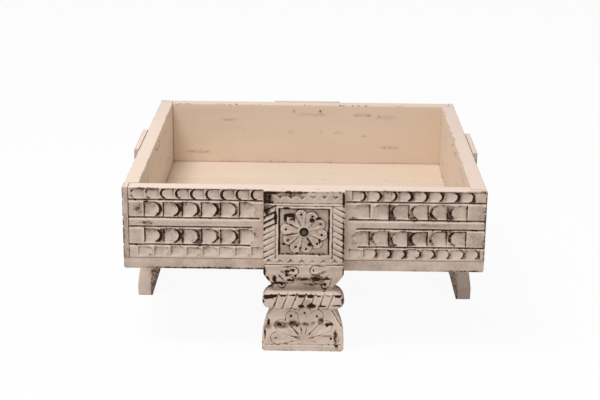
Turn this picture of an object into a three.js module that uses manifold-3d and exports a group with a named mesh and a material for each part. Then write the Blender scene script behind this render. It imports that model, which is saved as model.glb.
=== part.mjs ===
// A bajot: a low square tray table of carved wood. Four wall boards, each rebated to take its neighbour's end,
// turn round the corners like a pinwheel and stand on a base of three planks. One carved plank leg laps the middle
// of each wall, and its shoulder carries the base from below.
// Millimetres, +Z up. The table stands on z = 0, with its middle over x = y = 0 and its front towards -Y.

import * as THREE from "three";
import { mergeVertices } from "three/addons/utils/BufferGeometryUtils.js";
import Module from "manifold-3d";

const wasm = await Module();
wasm.setup();

// Driving dimensions: the tray
const TRAY_SIDE = 450;
const UNDER_HEIGHT = 106;
const BASE_THICK = 15;
const WALL_HEIGHT = 92;
const WALL_THICK = 19;
const CORNER_LIP = 7;
const BACK_PLANK_WIDTH = 105;
const GLUE_LINE = 0.3;

// Driving dimensions: the legs
const LEG_WIDTH = 101;
const LEG_THICK = 34;
const LEG_PROUD = 7;
const FOOT_HEIGHT = 56;
const ROLL_HEIGHT = 24;
const FOOT_WIDTH = 103.5;
const NECK_WIDTH = 74;
const NECK_SETBACK = 12;

// How far a cutter runs past what it cuts, and how far a carving stroke starts above a flat or a rounded surface
const OVERRUN = 4;
const CARVE_LIFT = 0.6;
const ROUND_CARVE_LIFT = 1.5;

// Places that follow from them
const TRAY_HALF = TRAY_SIDE / 2;
const DECK_Z = UNDER_HEIGHT + BASE_THICK;
const WALL_FOOT_Z = DECK_Z + GLUE_LINE;
const RIM_Z = WALL_FOOT_Z + WALL_HEIGHT;
const LEG_HALF = LEG_WIDTH / 2;
const SHOULDER_Z = UNDER_HEIGHT - GLUE_LINE;

// Finishes
const paintedWood = new THREE.MeshStandardMaterial({ color: 0xd8c6b4, roughness: 0.75, metalness: 0 });
const blackIron = new THREE.MeshStandardMaterial({ color: 0x1c1815, roughness: 0.45, metalness: 0.8 });
const paintedIron = new THREE.MeshStandardMaterial({ color: 0xb9a998, roughness: 0.65, metalness: 0.3 });

// A closed geometry as a solid. Only its points are kept, shared ones are merged, and the empty triangles that a
// revolved profile has at its poles are dropped.
function solidOf(geometry) {
  const bare = new THREE.BufferGeometry();
  bare.setAttribute("position", geometry.getAttribute("position"));
  bare.setIndex(geometry.getIndex());
  const merged = mergeVertices(bare);
  const corners = merged.getIndex().array;
  const kept = [];
  for (let i = 0; i < corners.length; i += 3) {
    const [a, b, c] = corners.slice(i, i + 3);
    if (a !== b && b !== c && c !== a) kept.push(a, b, c);
  }
  return new wasm.Manifold(
    new wasm.Mesh({
      numProp: 3,
      vertProperties: new Float32Array(merged.getAttribute("position").array),
      triVerts: new Uint32Array(kept),
    }),
  );
}

// A solid as a flat-shaded geometry.
function geometryOf(solid) {
  const mesh = solid.getMesh();
  const shared = new THREE.BufferGeometry();
  shared.setAttribute("position", new THREE.BufferAttribute(mesh.vertProperties, 3));
  shared.setIndex(new THREE.BufferAttribute(mesh.triVerts, 1));
  const flat = shared.toNonIndexed();
  flat.computeVertexNormals();
  return flat;
}

function cutAll(solid, cutters) {
  return cutters.reduce((rest, cutter) => rest.subtract(cutter), solid);
}

function joinAll(solids) {
  return solids.reduce((whole, solid) => whole.add(solid));
}

function boxBetween(x, y, z) {
  const box = new THREE.BoxGeometry(x[1] - x[0], y[1] - y[0], z[1] - z[0]);
  return solidOf(box.translate((x[0] + x[1]) / 2, (y[0] + y[1]) / 2, (z[0] + z[1]) / 2));
}

// An outline in x and z, drawn as seen from the front, given its thickness from yFront towards +Y.
function extrudeFront(shape, yFront, thick, options = {}) {
  const geometry = new THREE.ExtrudeGeometry(shape, { depth: thick, bevelEnabled: false, ...options });
  return solidOf(geometry.rotateX(Math.PI / 2).translate(0, yFront + thick, 0));
}

// An outline in y and z, drawn as seen from the side, run along X.
function extrudeAlong(shape, x0, x1) {
  const geometry = new THREE.ExtrudeGeometry(shape, { depth: x1 - x0, bevelEnabled: false, curveSegments: 2 });
  const turn = new THREE.Matrix4().makeBasis(
    new THREE.Vector3(0, 1, 0),
    new THREE.Vector3(0, 0, 1),
    new THREE.Vector3(1, 0, 0),
  );
  return solidOf(geometry.applyMatrix4(turn).translate(x0, 0, 0));
}

// A solid skinned over rings of points. A ring of one point brings that end to a tip.
function loft(rings) {
  const points = rings.flat();
  const starts = rings.map((ring, i) => rings.slice(0, i).flat().length);
  const at = (i, j) => starts[i] + (j % rings[i].length);
  const faces = [];
  for (let i = 0; i + 1 < rings.length; i++) {
    const sides = Math.max(rings[i].length, rings[i + 1].length);
    for (let j = 0; j < sides; j++) {
      if (rings[i].length > 1) faces.push([at(i, j), at(i, j + 1), at(i + 1, j + 1)]);
      if (rings[i + 1].length > 1) faces.push([at(i, j), at(i + 1, j + 1), at(i + 1, j)]);
    }
  }
  const last = rings.length - 1;
  for (let j = 1; j + 1 < rings[0].length; j++) faces.push([at(0, 0), at(0, j + 1), at(0, j)]);
  for (let j = 1; j + 1 < rings[last].length; j++) faces.push([at(last, 0), at(last, j), at(last, j + 1)]);
  const volume = faces.reduce(
    (sum, [a, b, c]) => sum + points[a].dot(new THREE.Vector3().crossVectors(points[b], points[c])),
    0,
  );
  const outward = volume < 0 ? faces.map(([a, b, c]) => [a, c, b]) : faces;
  const geometry = new THREE.BufferGeometry().setFromPoints(points);
  geometry.setIndex(outward.flat());
  return solidOf(geometry);
}

// Carving. A surface is a function of u across, v up and depth into the wood that gives the point in space.
// A stroke's section is a list of [across, depth] shares, and its stations are [along, width, depth] shares.
// It starts flush with the surface, or the given lift above one that is sloped or made in another way.
const V_SECTION_SHARES = [[-1, 0], [0, 1], [1, 0]];
const GOUGE_SECTION_SHARES = [[-1, 0], [-0.4, 0.9], [0.4, 0.9], [1, 0]];
const STOPPED_STROKE_SHARES = [[0, 1, 1], [0.6, 1, 1], [0.87, 0.72, 0.6], [1, 0, 0]];
const SHORT_STROKE_SHARES = [[0, 1, 1], [0.55, 0.95, 0.9], [1, 0, 0]];
const LEAF_STROKE_SHARES = [[0, 0, 0], [0.64, 1, 1], [1, 0, 0]];
const BENT_LEAF_STROKE_SHARES = [[0, 0, 0], [0.35, 0.7, 0.8], [0.68, 1, 1], [1, 0, 0]];
const FADING_STROKE_SHARES = [[0, 0, 0], [0.08, 1, 1], [0.92, 1, 1], [1, 0, 0]];
const OPEN_STROKE_SHARES = [[0, 1, 1], [0.94, 1, 1], [1, 0, 0]];
const TAPERED_STROKE_SHARES = [[0, 1, 1], [1, 0, 0]];
const THROUGH_STROKE_SHARES = [[0, 1, 1], [1, 1, 1]];

// The wood that one stroke of a tool takes out, from start to end on the surface.
function stroke(surface, start, end, halfWidth, depth, section, stations, lift = 0) {
  const along = new THREE.Vector2().subVectors(end, start);
  const across = new THREE.Vector2(-along.y, along.x).normalize();
  const point = (share, side, deep) => {
    const place = start.clone().addScaledVector(along, share).addScaledVector(across, side);
    return surface(place.x, place.y, deep);
  };
  const lifted = (edge, inner, deepest, width) => {
    const inside = inner[1] * deepest;
    const run = (edge[0] - inner[0]) * width;
    return [edge[0] * width + (run * lift) / inside, -lift];
  };
  const rings = stations.map(([share, widthShare, depthShare]) => {
    if (widthShare === 0) return [point(share, 0, -lift)];
    const width = halfWidth * widthShare;
    const deepest = depth * depthShare;
    const inner = section.slice(1, -1).map(([side, deep]) => [side * width, deep * deepest]);
    const low = lifted(section[0], section[1], deepest, width);
    const high = lifted(section.at(-1), section.at(-2), deepest, width);
    return [low, ...inner, high].map(([side, deep]) => point(share, side, deep));
  });
  return loft(rings);
}

// A three-cornered chip: a pit with its deepest point under one place of the surface.
function chip(surface, corners, middle, depth) {
  return loft([[surface(middle.x, middle.y, depth)], corners.map((corner) => surface(corner.x, corner.y, 0))]);
}

const at2 = (u, v) => new THREE.Vector2(u, v);
const polar = (centre, radius, angle) =>
  at2(centre.x + radius * Math.cos(angle), centre.y + radius * Math.sin(angle));

// Nails: hand-forged, with a square shank drawn to a point and a low four-sided head that stands on the wood.
// Their origin is where they enter the wood, and they point towards +Z.
const NAIL_SIDES = 4;
const NAIL_HEAD_RADIUS = 2.4;
const NAIL_HEAD_RISE = 0.8;
const NAIL_SHANK_RADIUS = 1.4;
const NAIL_POINT = 4;
const NAIL_FIT = 0.4;
const CORNER_NAIL_LENGTH = 30;
const CORNER_NAIL_SHARES = [0.13, 0.315, 0.64];
const LEG_NAIL_LENGTH = 23.5;
const LEG_NAIL_DROP = 9.5;
const LEG_NAIL_SPREAD = 20.25;
const BASE_NAIL_LENGTH = 36;
const PLANK_NAIL_SHARES = [0.22, 0.78];
const EDGE_NAIL_SPREAD = 124;
const NAIL_TURN = Math.PI / NAIL_SIDES;

function nailGeometry(length) {
  const profile = [
    at2(0, -GLUE_LINE - NAIL_HEAD_RISE),
    at2(NAIL_HEAD_RADIUS, -GLUE_LINE),
    at2(NAIL_SHANK_RADIUS, -GLUE_LINE),
    at2(NAIL_SHANK_RADIUS, length - NAIL_POINT),
    at2(0, length),
  ];
  return new THREE.LatheGeometry(profile, NAIL_SIDES, NAIL_TURN).rotateX(Math.PI / 2);
}

function nailHole(shankRadius, length, place, turn) {
  const radius = shankRadius + NAIL_FIT;
  const start = -OVERRUN;
  const end = length + NAIL_FIT;
  const profile = [at2(0, start), at2(radius, start), at2(radius, end), at2(0, end)];
  const hole = new THREE.LatheGeometry(profile, NAIL_SIDES, NAIL_TURN).rotateX(Math.PI / 2);
  hole.applyQuaternion(new THREE.Quaternion().setFromEuler(turn));
  return solidOf(hole.translate(place.x, place.y, place.z));
}

const POINTING_UP = new THREE.Euler(0, 0, 0);
const POINTING_BACK = new THREE.Euler(-Math.PI / 2, 0, 0);
const POINTING_FRONT = new THREE.Euler(Math.PI / 2, 0, 0);
const POINTING_RIGHT = new THREE.Euler(0, Math.PI / 2, 0);

const WALL_MIDDLE = -TRAY_HALF + WALL_THICK / 2;
const cornerNailPlaces = CORNER_NAIL_SHARES.map(
  (share) => new THREE.Vector3(-WALL_MIDDLE, -TRAY_HALF, RIM_Z - share * WALL_HEIGHT),
);
const legNailPlaces = [-1, 1].map(
  (side) => new THREE.Vector3(side * LEG_NAIL_SPREAD, -TRAY_HALF + WALL_THICK, RIM_Z - LEG_NAIL_DROP),
);

// The boss: a domed iron head on a square shank, driven through the rosette's hub into the wall.
const BOSS_RADIUS = 6;
const BOSS_HEIGHT = 3;
const BOSS_SHANK_RADIUS = 2.2;
const BOSS_LENGTH = 20;
const BOSS_SIDES = 10;

function bossGeometry() {
  const dome = new THREE.Path();
  dome.moveTo(0, -GLUE_LINE - BOSS_HEIGHT);
  dome.absellipse(0, -GLUE_LINE, BOSS_RADIUS, BOSS_HEIGHT, -Math.PI / 2, 0);
  dome.lineTo(0, -GLUE_LINE);
  const shank = [
    at2(0, -GLUE_LINE - BOSS_HEIGHT / 2),
    at2(BOSS_SHANK_RADIUS, -GLUE_LINE - BOSS_HEIGHT / 2),
    at2(BOSS_SHANK_RADIUS, BOSS_LENGTH - NAIL_POINT),
    at2(0, BOSS_LENGTH),
  ];
  const head = new THREE.LatheGeometry(dome.getPoints(1), BOSS_SIDES).rotateX(Math.PI / 2);
  const stem = new THREE.LatheGeometry(shank, NAIL_SIDES, NAIL_TURN).rotateX(Math.PI / 2);
  return geometryOf(solidOf(head).add(solidOf(stem)));
}

// The rosette's hub and panel, which the boss and the leg share
const PANEL_HEIGHT = RIM_Z - SHOULDER_Z;
const RECESS_WIDTH = 63;
const RECESS_HEIGHT = 61;
const RECESS_DEPTH = 3;
const RECESS_CENTRE_SHARE = 0.4965;
const HUB_RADIUS = 8.2;
const HUB_DEPTH = 1;
const ROSETTE_CENTRE = at2(0, RIM_Z - RECESS_CENTRE_SHARE * PANEL_HEIGHT);
const LEG_FRONT_Y = -TRAY_HALF - LEG_PROUD;
const bossPlace = new THREE.Vector3(0, LEG_FRONT_Y + HUB_DEPTH, ROSETTE_CENTRE.y);

const bossHole = () => nailHole(BOSS_SHANK_RADIUS, BOSS_LENGTH, bossPlace, POINTING_BACK);

// Wall carving: rows of gouge cuts, square at the stop and round where the gouge came in, and grooves between rows
const FIELD_MARGIN = 10;
const LARGE_CUT_PITCH = 23.7;
const LARGE_CUT_HEIGHT = 19;
const LARGE_CUT_DEPTH = 2.8;
const LARGE_CUT_COUNT = 6;
const SMALL_CUT_PITCH = 19;
const SMALL_CUT_HEIGHT = 12.4;
const SMALL_CUT_DEPTH = 1.8;
const SMALL_CUT_COUNT = 8;
const CUT_LENGTH_SHARE = 0.86;
const GROOVE_WIDTH = 2.2;
const GROOVE_DEPTH = 1.6;
const GROOVE_SHARES = [0.171, 0.422, 0.551, 0.808];
const RIM_EASE = 1.6;
const large = {
  pitch: LARGE_CUT_PITCH,
  height: LARGE_CUT_HEIGHT,
  depth: LARGE_CUT_DEPTH,
  count: LARGE_CUT_COUNT,
  section: GOUGE_SECTION_SHARES,
  stations: STOPPED_STROKE_SHARES,
};
const small = {
  pitch: SMALL_CUT_PITCH,
  height: SMALL_CUT_HEIGHT,
  depth: SMALL_CUT_DEPTH,
  count: SMALL_CUT_COUNT,
  section: V_SECTION_SHARES,
  stations: SHORT_STROKE_SHARES,
};
// Each row's centre down the wall, its size of cut, and which way the round ends face: away from the leg,
// towards it, or to the right on both halves
const cutRows = [
  { centreShare: 0.087, cut: small, roundEnd: (half) => half },
  { centreShare: 0.302, cut: large, roundEnd: (half) => -half },
  { centreShare: 0.683, cut: large, roundEnd: (half) => -half },
  { centreShare: 0.902, cut: small, roundEnd: () => 1 },
];

const wallSurface = (u, v, depth) => new THREE.Vector3(u, -TRAY_HALF + depth, v);

function gougeCuts(half) {
  const fieldStart = LEG_HALF + FIELD_MARGIN;
  return cutRows.flatMap(({ centreShare, cut, roundEnd }) => {
    const v = RIM_Z - centreShare * WALL_HEIGHT;
    const reach = cut.pitch * CUT_LENGTH_SHARE;
    return Array.from({ length: cut.count }, (_, i) => {
      const middle = half * (fieldStart + (i + CUT_LENGTH_SHARE / 2) * cut.pitch);
      const towards = (roundEnd(half) * reach) / 2;
      const stop = at2(middle - towards, v);
      const entry = at2(middle + towards, v);
      return stroke(wallSurface, stop, entry, cut.height / 2, cut.depth, cut.section, cut.stations);
    });
  });
}

function wallGrooves(half) {
  return GROOVE_SHARES.map((share) => {
    const v = RIM_Z - share * WALL_HEIGHT;
    const end = at2(half * (LEG_HALF + FIELD_MARGIN / 2), v);
    const start = at2(half * (TRAY_HALF + OVERRUN), v);
    const [width, depth] = [GROOVE_WIDTH / 2, GROOVE_DEPTH];
    return stroke(wallSurface, start, end, width, depth, V_SECTION_SHARES, OPEN_STROKE_SHARES);
  });
}

// A wall, as seen at the front: square at its left end and rebated at its right end to take the next wall's end.
function wallGeometry(baseNailPlaces) {
  const section = new THREE.Shape();
  const outer = -TRAY_HALF;
  const inner = outer + WALL_THICK;
  section.moveTo(outer, WALL_FOOT_Z);
  section.lineTo(inner, WALL_FOOT_Z);
  section.lineTo(inner, RIM_Z - RIM_EASE);
  section.lineTo(inner - RIM_EASE, RIM_Z);
  section.lineTo(outer + RIM_EASE, RIM_Z);
  section.lineTo(outer, RIM_Z - RIM_EASE);
  const squareEnd = -TRAY_HALF + CORNER_LIP + GLUE_LINE;
  const board = extrudeAlong(section, squareEnd, TRAY_HALF);
  const rebate = boxBetween(
    [-inner - GLUE_LINE, TRAY_HALF + OVERRUN],
    [outer + CORNER_LIP, inner + OVERRUN],
    [WALL_FOOT_Z - OVERRUN, RIM_Z + OVERRUN],
  );
  const endPlaces = cornerNailPlaces.map((place) => new THREE.Vector3(outer, WALL_MIDDLE, place.z));
  const basePlaces = baseNailPlaces.map((x) => new THREE.Vector3(x, WALL_MIDDLE, UNDER_HEIGHT));
  const hole = (length, place, turn) => nailHole(NAIL_SHANK_RADIUS, length, place, turn);
  const nailHoles = [
    ...cornerNailPlaces.map((place) => hole(CORNER_NAIL_LENGTH, place, POINTING_BACK)),
    ...endPlaces.map((place) => hole(CORNER_NAIL_LENGTH, place, POINTING_RIGHT)),
    ...legNailPlaces.map((place) => hole(LEG_NAIL_LENGTH, place, POINTING_FRONT)),
    ...basePlaces.map((place) => hole(BASE_NAIL_LENGTH, place, POINTING_UP)),
  ];
  const carving = [-1, 1].flatMap((half) => [...gougeCuts(half), ...wallGrooves(half)]);
  return geometryOf(cutAll(board, [rebate, ...carving, ...nailHoles, bossHole()]));
}

// Base: three planks side by side, their outer lower edges rounded over
const BASE_EDGE_ROUND = 4;
const FRONT_PLANKS_WIDTH = (TRAY_SIDE - BACK_PLANK_WIDTH) / 2;
const plankEdges = [0, FRONT_PLANKS_WIDTH, 2 * FRONT_PLANKS_WIDTH, TRAY_SIDE].map((width) => width - TRAY_HALF);
const plankNames = ["front_plank", "middle_plank", "back_plank"];
// Each plank end is nailed inside the corner, where no leg covers it.
const plankNailSpans = [
  [plankEdges[0] + WALL_THICK, Math.min(plankEdges[1], -LEG_HALF)],
  [LEG_HALF, plankEdges[2]],
  [plankEdges[2], plankEdges[3] - WALL_THICK],
];
const plankNailRows = plankNailSpans.map(([from, to]) =>
  PLANK_NAIL_SHARES.map((share) => THREE.MathUtils.lerp(from, to, share)),
);
const edgeNailPlaces = [-EDGE_NAIL_SPREAD, EDGE_NAIL_SPREAD];

function baseSlab() {
  const outline = new THREE.Shape();
  const flat = TRAY_HALF - BASE_EDGE_ROUND;
  const arcZ = UNDER_HEIGHT + BASE_EDGE_ROUND;
  outline.moveTo(-TRAY_HALF, DECK_Z);
  outline.lineTo(-TRAY_HALF, arcZ);
  outline.absarc(-flat, arcZ, BASE_EDGE_ROUND, Math.PI, 1.5 * Math.PI);
  outline.absarc(flat, arcZ, BASE_EDGE_ROUND, 1.5 * Math.PI, 2 * Math.PI);
  outline.lineTo(TRAY_HALF, DECK_Z);
  const across = extrudeFront(outline, -TRAY_HALF, TRAY_SIDE, { curveSegments: 3 });
  return across.intersect(across.rotate([0, 0, 90]));
}

function plankGeometry(slab, index) {
  const front = plankEdges[index] + (index > 0 ? GLUE_LINE / 2 : -OVERRUN);
  const back = plankEdges[index + 1] + (index < plankNames.length - 1 ? -GLUE_LINE / 2 : OVERRUN);
  const wide = [-TRAY_SIDE, TRAY_SIDE];
  const plank = slab.intersect(boxBetween(wide, [front, back], [UNDER_HEIGHT - OVERRUN, DECK_Z + OVERRUN]));
  const hole = (place) => nailHole(NAIL_SHANK_RADIUS, BASE_NAIL_LENGTH, place, POINTING_UP);
  const holes = plankNailPlaces(index).map(hole);
  return geometryOf(cutAll(plank, holes));
}

// Where a plank is nailed up into the walls: at both ends, and along the front or the back edge of the tray.
function plankNailPlaces(index) {
  const ends = plankNailRows[index].flatMap((y) => [
    new THREE.Vector3(WALL_MIDDLE, y, UNDER_HEIGHT),
    new THREE.Vector3(-WALL_MIDDLE, y, UNDER_HEIGHT),
  ]);
  const edgeY = index === 0 ? WALL_MIDDLE : -WALL_MIDDLE;
  const edge = edgeNailPlaces.map((x) => new THREE.Vector3(x, edgeY, UNDER_HEIGHT));
  return index === 1 ? ends : [...ends, ...edge];
}

// Leg: its outline from the front crossed with its profile from the side, and then the carving
const BOWL_ROUND_SHARES = { corner: 0.105, end: 0.44, drawIn: 0.39, neck: 0.92 };
const ROLL_ZONE_TOP = FOOT_HEIGHT + ROLL_HEIGHT;
const ROLL_WIDTH = 103.5;
const ROLL_CHAMFER = 3.5;
const FOOT_TOP_WIDTH = 76.6;
const FOOT_SETBACK = 5;
const FOOT_BELLY_SHARES = { side: 0.99, height: 0.68, foot: 0.3 };
const TOE_ROUND = 2.5;
const TOE_THICK = 20;
// Heights of the upright toe and of the heel's slant, as shares of the foot's height
const TOE_SHARE = 0.18;
const HEEL_SHARE = 0.78;
const FLANK_THICK = 18;
const OUTLINE_STEPS = 3;
const footHalf = FOOT_WIDTH / 2;
const bowlTop = SHOULDER_Z;
const bowlHeight = bowlTop - ROLL_ZONE_TOP;
const bowlRoundEnd = bowlTop - BOWL_ROUND_SHARES.end * bowlHeight;
const neckTop = bowlTop - BOWL_ROUND_SHARES.neck * bowlHeight;
const footBelly = FOOT_BELLY_SHARES.foot * FOOT_HEIGHT;

// The right half of the outline, from the top down, and its mirror image.
function legOutline() {
  const neckHalf = NECK_WIDTH / 2;
  const drawIn = LEG_HALF - neckHalf;
  const half = new THREE.Path();
  half.moveTo(LEG_HALF, RIM_Z);
  half.lineTo(LEG_HALF, bowlTop);
  half.quadraticCurveTo(
    LEG_HALF,
    bowlTop - BOWL_ROUND_SHARES.corner * bowlHeight,
    LEG_HALF - BOWL_ROUND_SHARES.drawIn * drawIn,
    bowlRoundEnd,
  );
  half.lineTo(neckHalf, neckTop);
  half.lineTo(neckHalf, FOOT_HEIGHT + ROLL_CHAMFER);
  half.lineTo(FOOT_TOP_WIDTH / 2, FOOT_HEIGHT);
  half.quadraticCurveTo(
    FOOT_BELLY_SHARES.side * footHalf,
    FOOT_BELLY_SHARES.height * FOOT_HEIGHT,
    footHalf,
    footBelly,
  );
  half.lineTo(footHalf, TOE_ROUND);
  half.lineTo(footHalf - TOE_ROUND, 0);
  const right = half.getPoints(OUTLINE_STEPS);
  const left = right.map((point) => at2(-point.x, point.y)).reverse();
  return new THREE.Shape([...right, ...left]);
}

// How far the leg's face lies behind its front plane, at the height v.
function faceSetback(v) {
  const roundEnd = BOWL_ROUND_SHARES.drawIn * NECK_SETBACK;
  const roundMiddle = bowlTop - ((2 * BOWL_ROUND_SHARES.corner + BOWL_ROUND_SHARES.end) / 4) * bowlHeight;
  const heights = [0, footBelly, FOOT_HEIGHT, neckTop, bowlRoundEnd, roundMiddle, bowlTop, RIM_Z];
  const setbacks = [0, 0, FOOT_SETBACK, NECK_SETBACK, roundEnd, roundEnd / 4, 0, 0];
  const above = Math.max(1, heights.findIndex((height) => height >= v));
  const share = (v - heights[above - 1]) / (heights[above] - heights[above - 1]);
  return THREE.MathUtils.lerp(setbacks[above - 1], setbacks[above], share);
}

// The profile in y and z: carved face, tongue that laps the wall, shoulder under the base, and tapered heel.
function legProfile() {
  const front = LEG_FRONT_Y;
  const back = front + LEG_THICK;
  const tongueBack = -TRAY_HALF - GLUE_LINE;
  const profile = new THREE.Shape();
  profile.moveTo(front, RIM_Z);
  profile.lineTo(front, bowlTop);
  profile.quadraticCurveTo(
    front,
    bowlTop - BOWL_ROUND_SHARES.corner * bowlHeight,
    front + BOWL_ROUND_SHARES.drawIn * NECK_SETBACK,
    bowlRoundEnd,
  );
  profile.lineTo(front + NECK_SETBACK, neckTop);
  profile.lineTo(front + NECK_SETBACK, FOOT_HEIGHT + ROLL_CHAMFER);
  profile.lineTo(front + FOOT_SETBACK, FOOT_HEIGHT);
  profile.lineTo(front, footBelly);
  profile.lineTo(front, 0);
  profile.lineTo(front + TOE_THICK, 0);
  profile.lineTo(front + TOE_THICK, TOE_SHARE * FOOT_HEIGHT);
  profile.lineTo(back, HEEL_SHARE * FOOT_HEIGHT);
  profile.lineTo(back, SHOULDER_Z);
  profile.lineTo(tongueBack, SHOULDER_Z);
  profile.lineTo(tongueBack, RIM_Z);
  return profile;
}

// The roll between bowl and foot: a bar with round ends, bevelled all round its front and back.
function legRoll() {
  const radius = ROLL_HEIGHT / 2;
  const reach = ROLL_WIDTH / 2 - radius;
  const middle = FOOT_HEIGHT + radius;
  const bar = new THREE.Shape();
  bar.absarc(reach, middle, radius, -Math.PI / 2, Math.PI / 2);
  bar.absarc(-reach, middle, radius, Math.PI / 2, 1.5 * Math.PI);
  const bevel = {
    bevelEnabled: true,
    bevelThickness: ROLL_CHAMFER,
    bevelSize: ROLL_CHAMFER,
    bevelOffset: -ROLL_CHAMFER,
    bevelSegments: 1,
    curveSegments: 3,
  };
  return extrudeFront(bar, LEG_FRONT_Y + ROLL_CHAMFER, LEG_THICK - 2 * ROLL_CHAMFER, bevel);
}

// Below the tray the back corners are cut off, which leaves the leg's flanks thinner than its middle.
function backChamfers() {
  const front = LEG_FRONT_Y + FLANK_THICK - OVERRUN;
  const back = LEG_FRONT_Y + LEG_THICK + OVERRUN;
  const outside = footHalf + OVERRUN;
  return [-1, 1].map((side) => {
    const corner = [[outside, front], [outside, back], [outside - (back - front), back]];
    const ring = (z) => corner.map(([x, y]) => new THREE.Vector3(side * x, y, z));
    return loft([ring(-OVERRUN), ring(SHOULDER_Z + OVERRUN)]);
  });
}

const legSurface = (u, v, depth) => new THREE.Vector3(u, LEG_FRONT_Y + faceSetback(v) + depth, v);
const rollSurface = (u, v, depth) => new THREE.Vector3(u, LEG_FRONT_Y + depth, v);

// Rosette: ten petals standing in a square recess, each hollowed like a spoon, round a hub
const PETALS = 10;
const PETAL_REACH = 28;
const PETAL_HALF_WIDTH = 6.1;
const PETAL_TOP = 0.4;
const PETAL_SHOULDER_SHARE = 0.74;
const PETAL_ROOT = 7;
const PETAL_ROOT_HALF_WIDTH = 1.2;
const HOLLOW_START = 9.5;
const HOLLOW_END = 26;
const HOLLOW_HALF_WIDTH = 3.9;
const HOLLOW_DEPTH = 1.5;
const ROSETTE_TURN = THREE.MathUtils.degToRad(99);

function petalShape(angle) {
  const shoulder = PETAL_REACH * PETAL_SHOULDER_SHARE;
  const tip = PETAL_REACH - shoulder;
  const outline = new THREE.Path();
  outline.moveTo(PETAL_ROOT, PETAL_ROOT_HALF_WIDTH);
  outline.lineTo(PETAL_ROOT, -PETAL_ROOT_HALF_WIDTH);
  outline.absellipse(shoulder, 0, tip, PETAL_HALF_WIDTH, -Math.PI / 2, Math.PI / 2);
  const points = outline.getPoints(2);
  return new THREE.Shape(points.map((point) => point.rotateAround(at2(0, 0), angle).add(ROSETTE_CENTRE)));
}

function petalAngles(count, start, turn) {
  return Array.from({ length: count }, (_, i) => start + (i * turn) / count);
}

function rosetteRecess() {
  const rootDepth = RECESS_DEPTH + OVERRUN;
  const petals = petalAngles(PETALS, ROSETTE_TURN, 2 * Math.PI).map((angle) =>
    extrudeFront(petalShape(angle), LEG_FRONT_Y + PETAL_TOP, rootDepth - PETAL_TOP),
  );
  const hubLength = rootDepth - HUB_DEPTH;
  const hub = new THREE.CylinderGeometry(HUB_RADIUS, HUB_RADIUS, hubLength, BOSS_SIDES);
  hub.translate(0, LEG_FRONT_Y + HUB_DEPTH + hubLength / 2, ROSETTE_CENTRE.y);
  const recess = boxBetween(
    [-RECESS_WIDTH / 2, RECESS_WIDTH / 2],
    [LEG_FRONT_Y - OVERRUN, LEG_FRONT_Y + RECESS_DEPTH],
    [ROSETTE_CENTRE.y - RECESS_HEIGHT / 2, ROSETTE_CENTRE.y + RECESS_HEIGHT / 2],
  );
  return recess.subtract(joinAll([...petals, solidOf(hub)]));
}

function leafHollow(surface, centre, angle, reach, halfWidth, section, stations, lift) {
  const [start, end] = reach.map((radius) => polar(centre, radius, angle));
  return stroke(surface, start, end, halfWidth, HOLLOW_DEPTH, section, stations, lift);
}

const petalSurface = (u, v, depth) => new THREE.Vector3(u, LEG_FRONT_Y + PETAL_TOP + depth, v);

function rosetteHollows() {
  const reach = [HOLLOW_START, HOLLOW_END];
  return petalAngles(PETALS, ROSETTE_TURN, 2 * Math.PI).map((angle) =>
    leafHollow(
      petalSurface,
      ROSETTE_CENTRE,
      angle,
      reach,
      HOLLOW_HALF_WIDTH,
      GOUGE_SECTION_SHARES,
      LEAF_STROKE_SHARES,
      CARVE_LIFT,
    ),
  );
}

// Chip rows above and below the panel, level grooves, and a rope band down each side
const CHIPS = 7;
const CHIP_PITCH = 13.6;
const CHIP_WIDTH = 10.4;
const CHIP_HEIGHT = 5.8;
const CHIP_DEPTH = 1.8;
const LINE_WIDTH = 1.6;
const LINE_DEPTH = 1;
const BAND_WIDTH = 15.2;
const ROPE_STROKES = 9;
const ROPE_RISE = 8.8;
// Their places down the panel
const UPPER_CHIP_SHARE = 0.055;
const LOWER_CHIP_SHARE = 0.877;
const LEVEL_LINE_SHARES = [0.148, 0.182, 0.897];
const ROPE_SPAN_SHARES = [0.185, 0.753];

const down = (share) => RIM_Z - share * PANEL_HEIGHT;

function chipRow(share, upwards) {
  const base = down(share);
  return Array.from({ length: CHIPS }, (_, i) => {
    const middle = (i - (CHIPS - 1) / 2) * CHIP_PITCH;
    const corners = [
      at2(middle - CHIP_WIDTH / 2, base),
      at2(middle + CHIP_WIDTH / 2, base),
      at2(middle, base + upwards * CHIP_HEIGHT),
    ];
    return chip(legSurface, corners, at2(middle, base + (upwards * CHIP_HEIGHT) / 3), CHIP_DEPTH);
  });
}

function line(surface, start, end, stations = FADING_STROKE_SHARES) {
  return stroke(surface, start, end, LINE_WIDTH / 2, LINE_DEPTH, V_SECTION_SHARES, stations, CARVE_LIFT);
}

function panelCarving() {
  const outer = LEG_HALF + OVERRUN;
  const inner = LEG_HALF - BAND_WIDTH;
  const levels = LEVEL_LINE_SHARES.map((share) =>
    line(legSurface, at2(-outer, down(share)), at2(outer, down(share)), THROUGH_STROKE_SHARES),
  );
  const bandTop = down(LEVEL_LINE_SHARES[1]);
  const bandFoot = down(LOWER_CHIP_SHARE) + CHIP_HEIGHT;
  const bandEdges = [-1, 1].map((side) =>
    line(legSurface, at2(side * inner, bandTop), at2(side * inner, bandFoot)),
  );
  const ropes = [-1, 1].flatMap((side) =>
    Array.from({ length: ROPE_STROKES }, (_, i) => {
      const [first, last] = ROPE_SPAN_SHARES;
      const v = down(THREE.MathUtils.lerp(first, last, i / (ROPE_STROKES - 1)));
      const start = at2(side * outer, v - ROPE_RISE);
      return line(legSurface, start, at2(side * inner, v), TAPERED_STROKE_SHARES);
    }),
  );
  return [...levels, ...bandEdges, ...ropes, ...chipRow(UPPER_CHIP_SHARE, -1), ...chipRow(LOWER_CHIP_SHARE, 1)];
}

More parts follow.
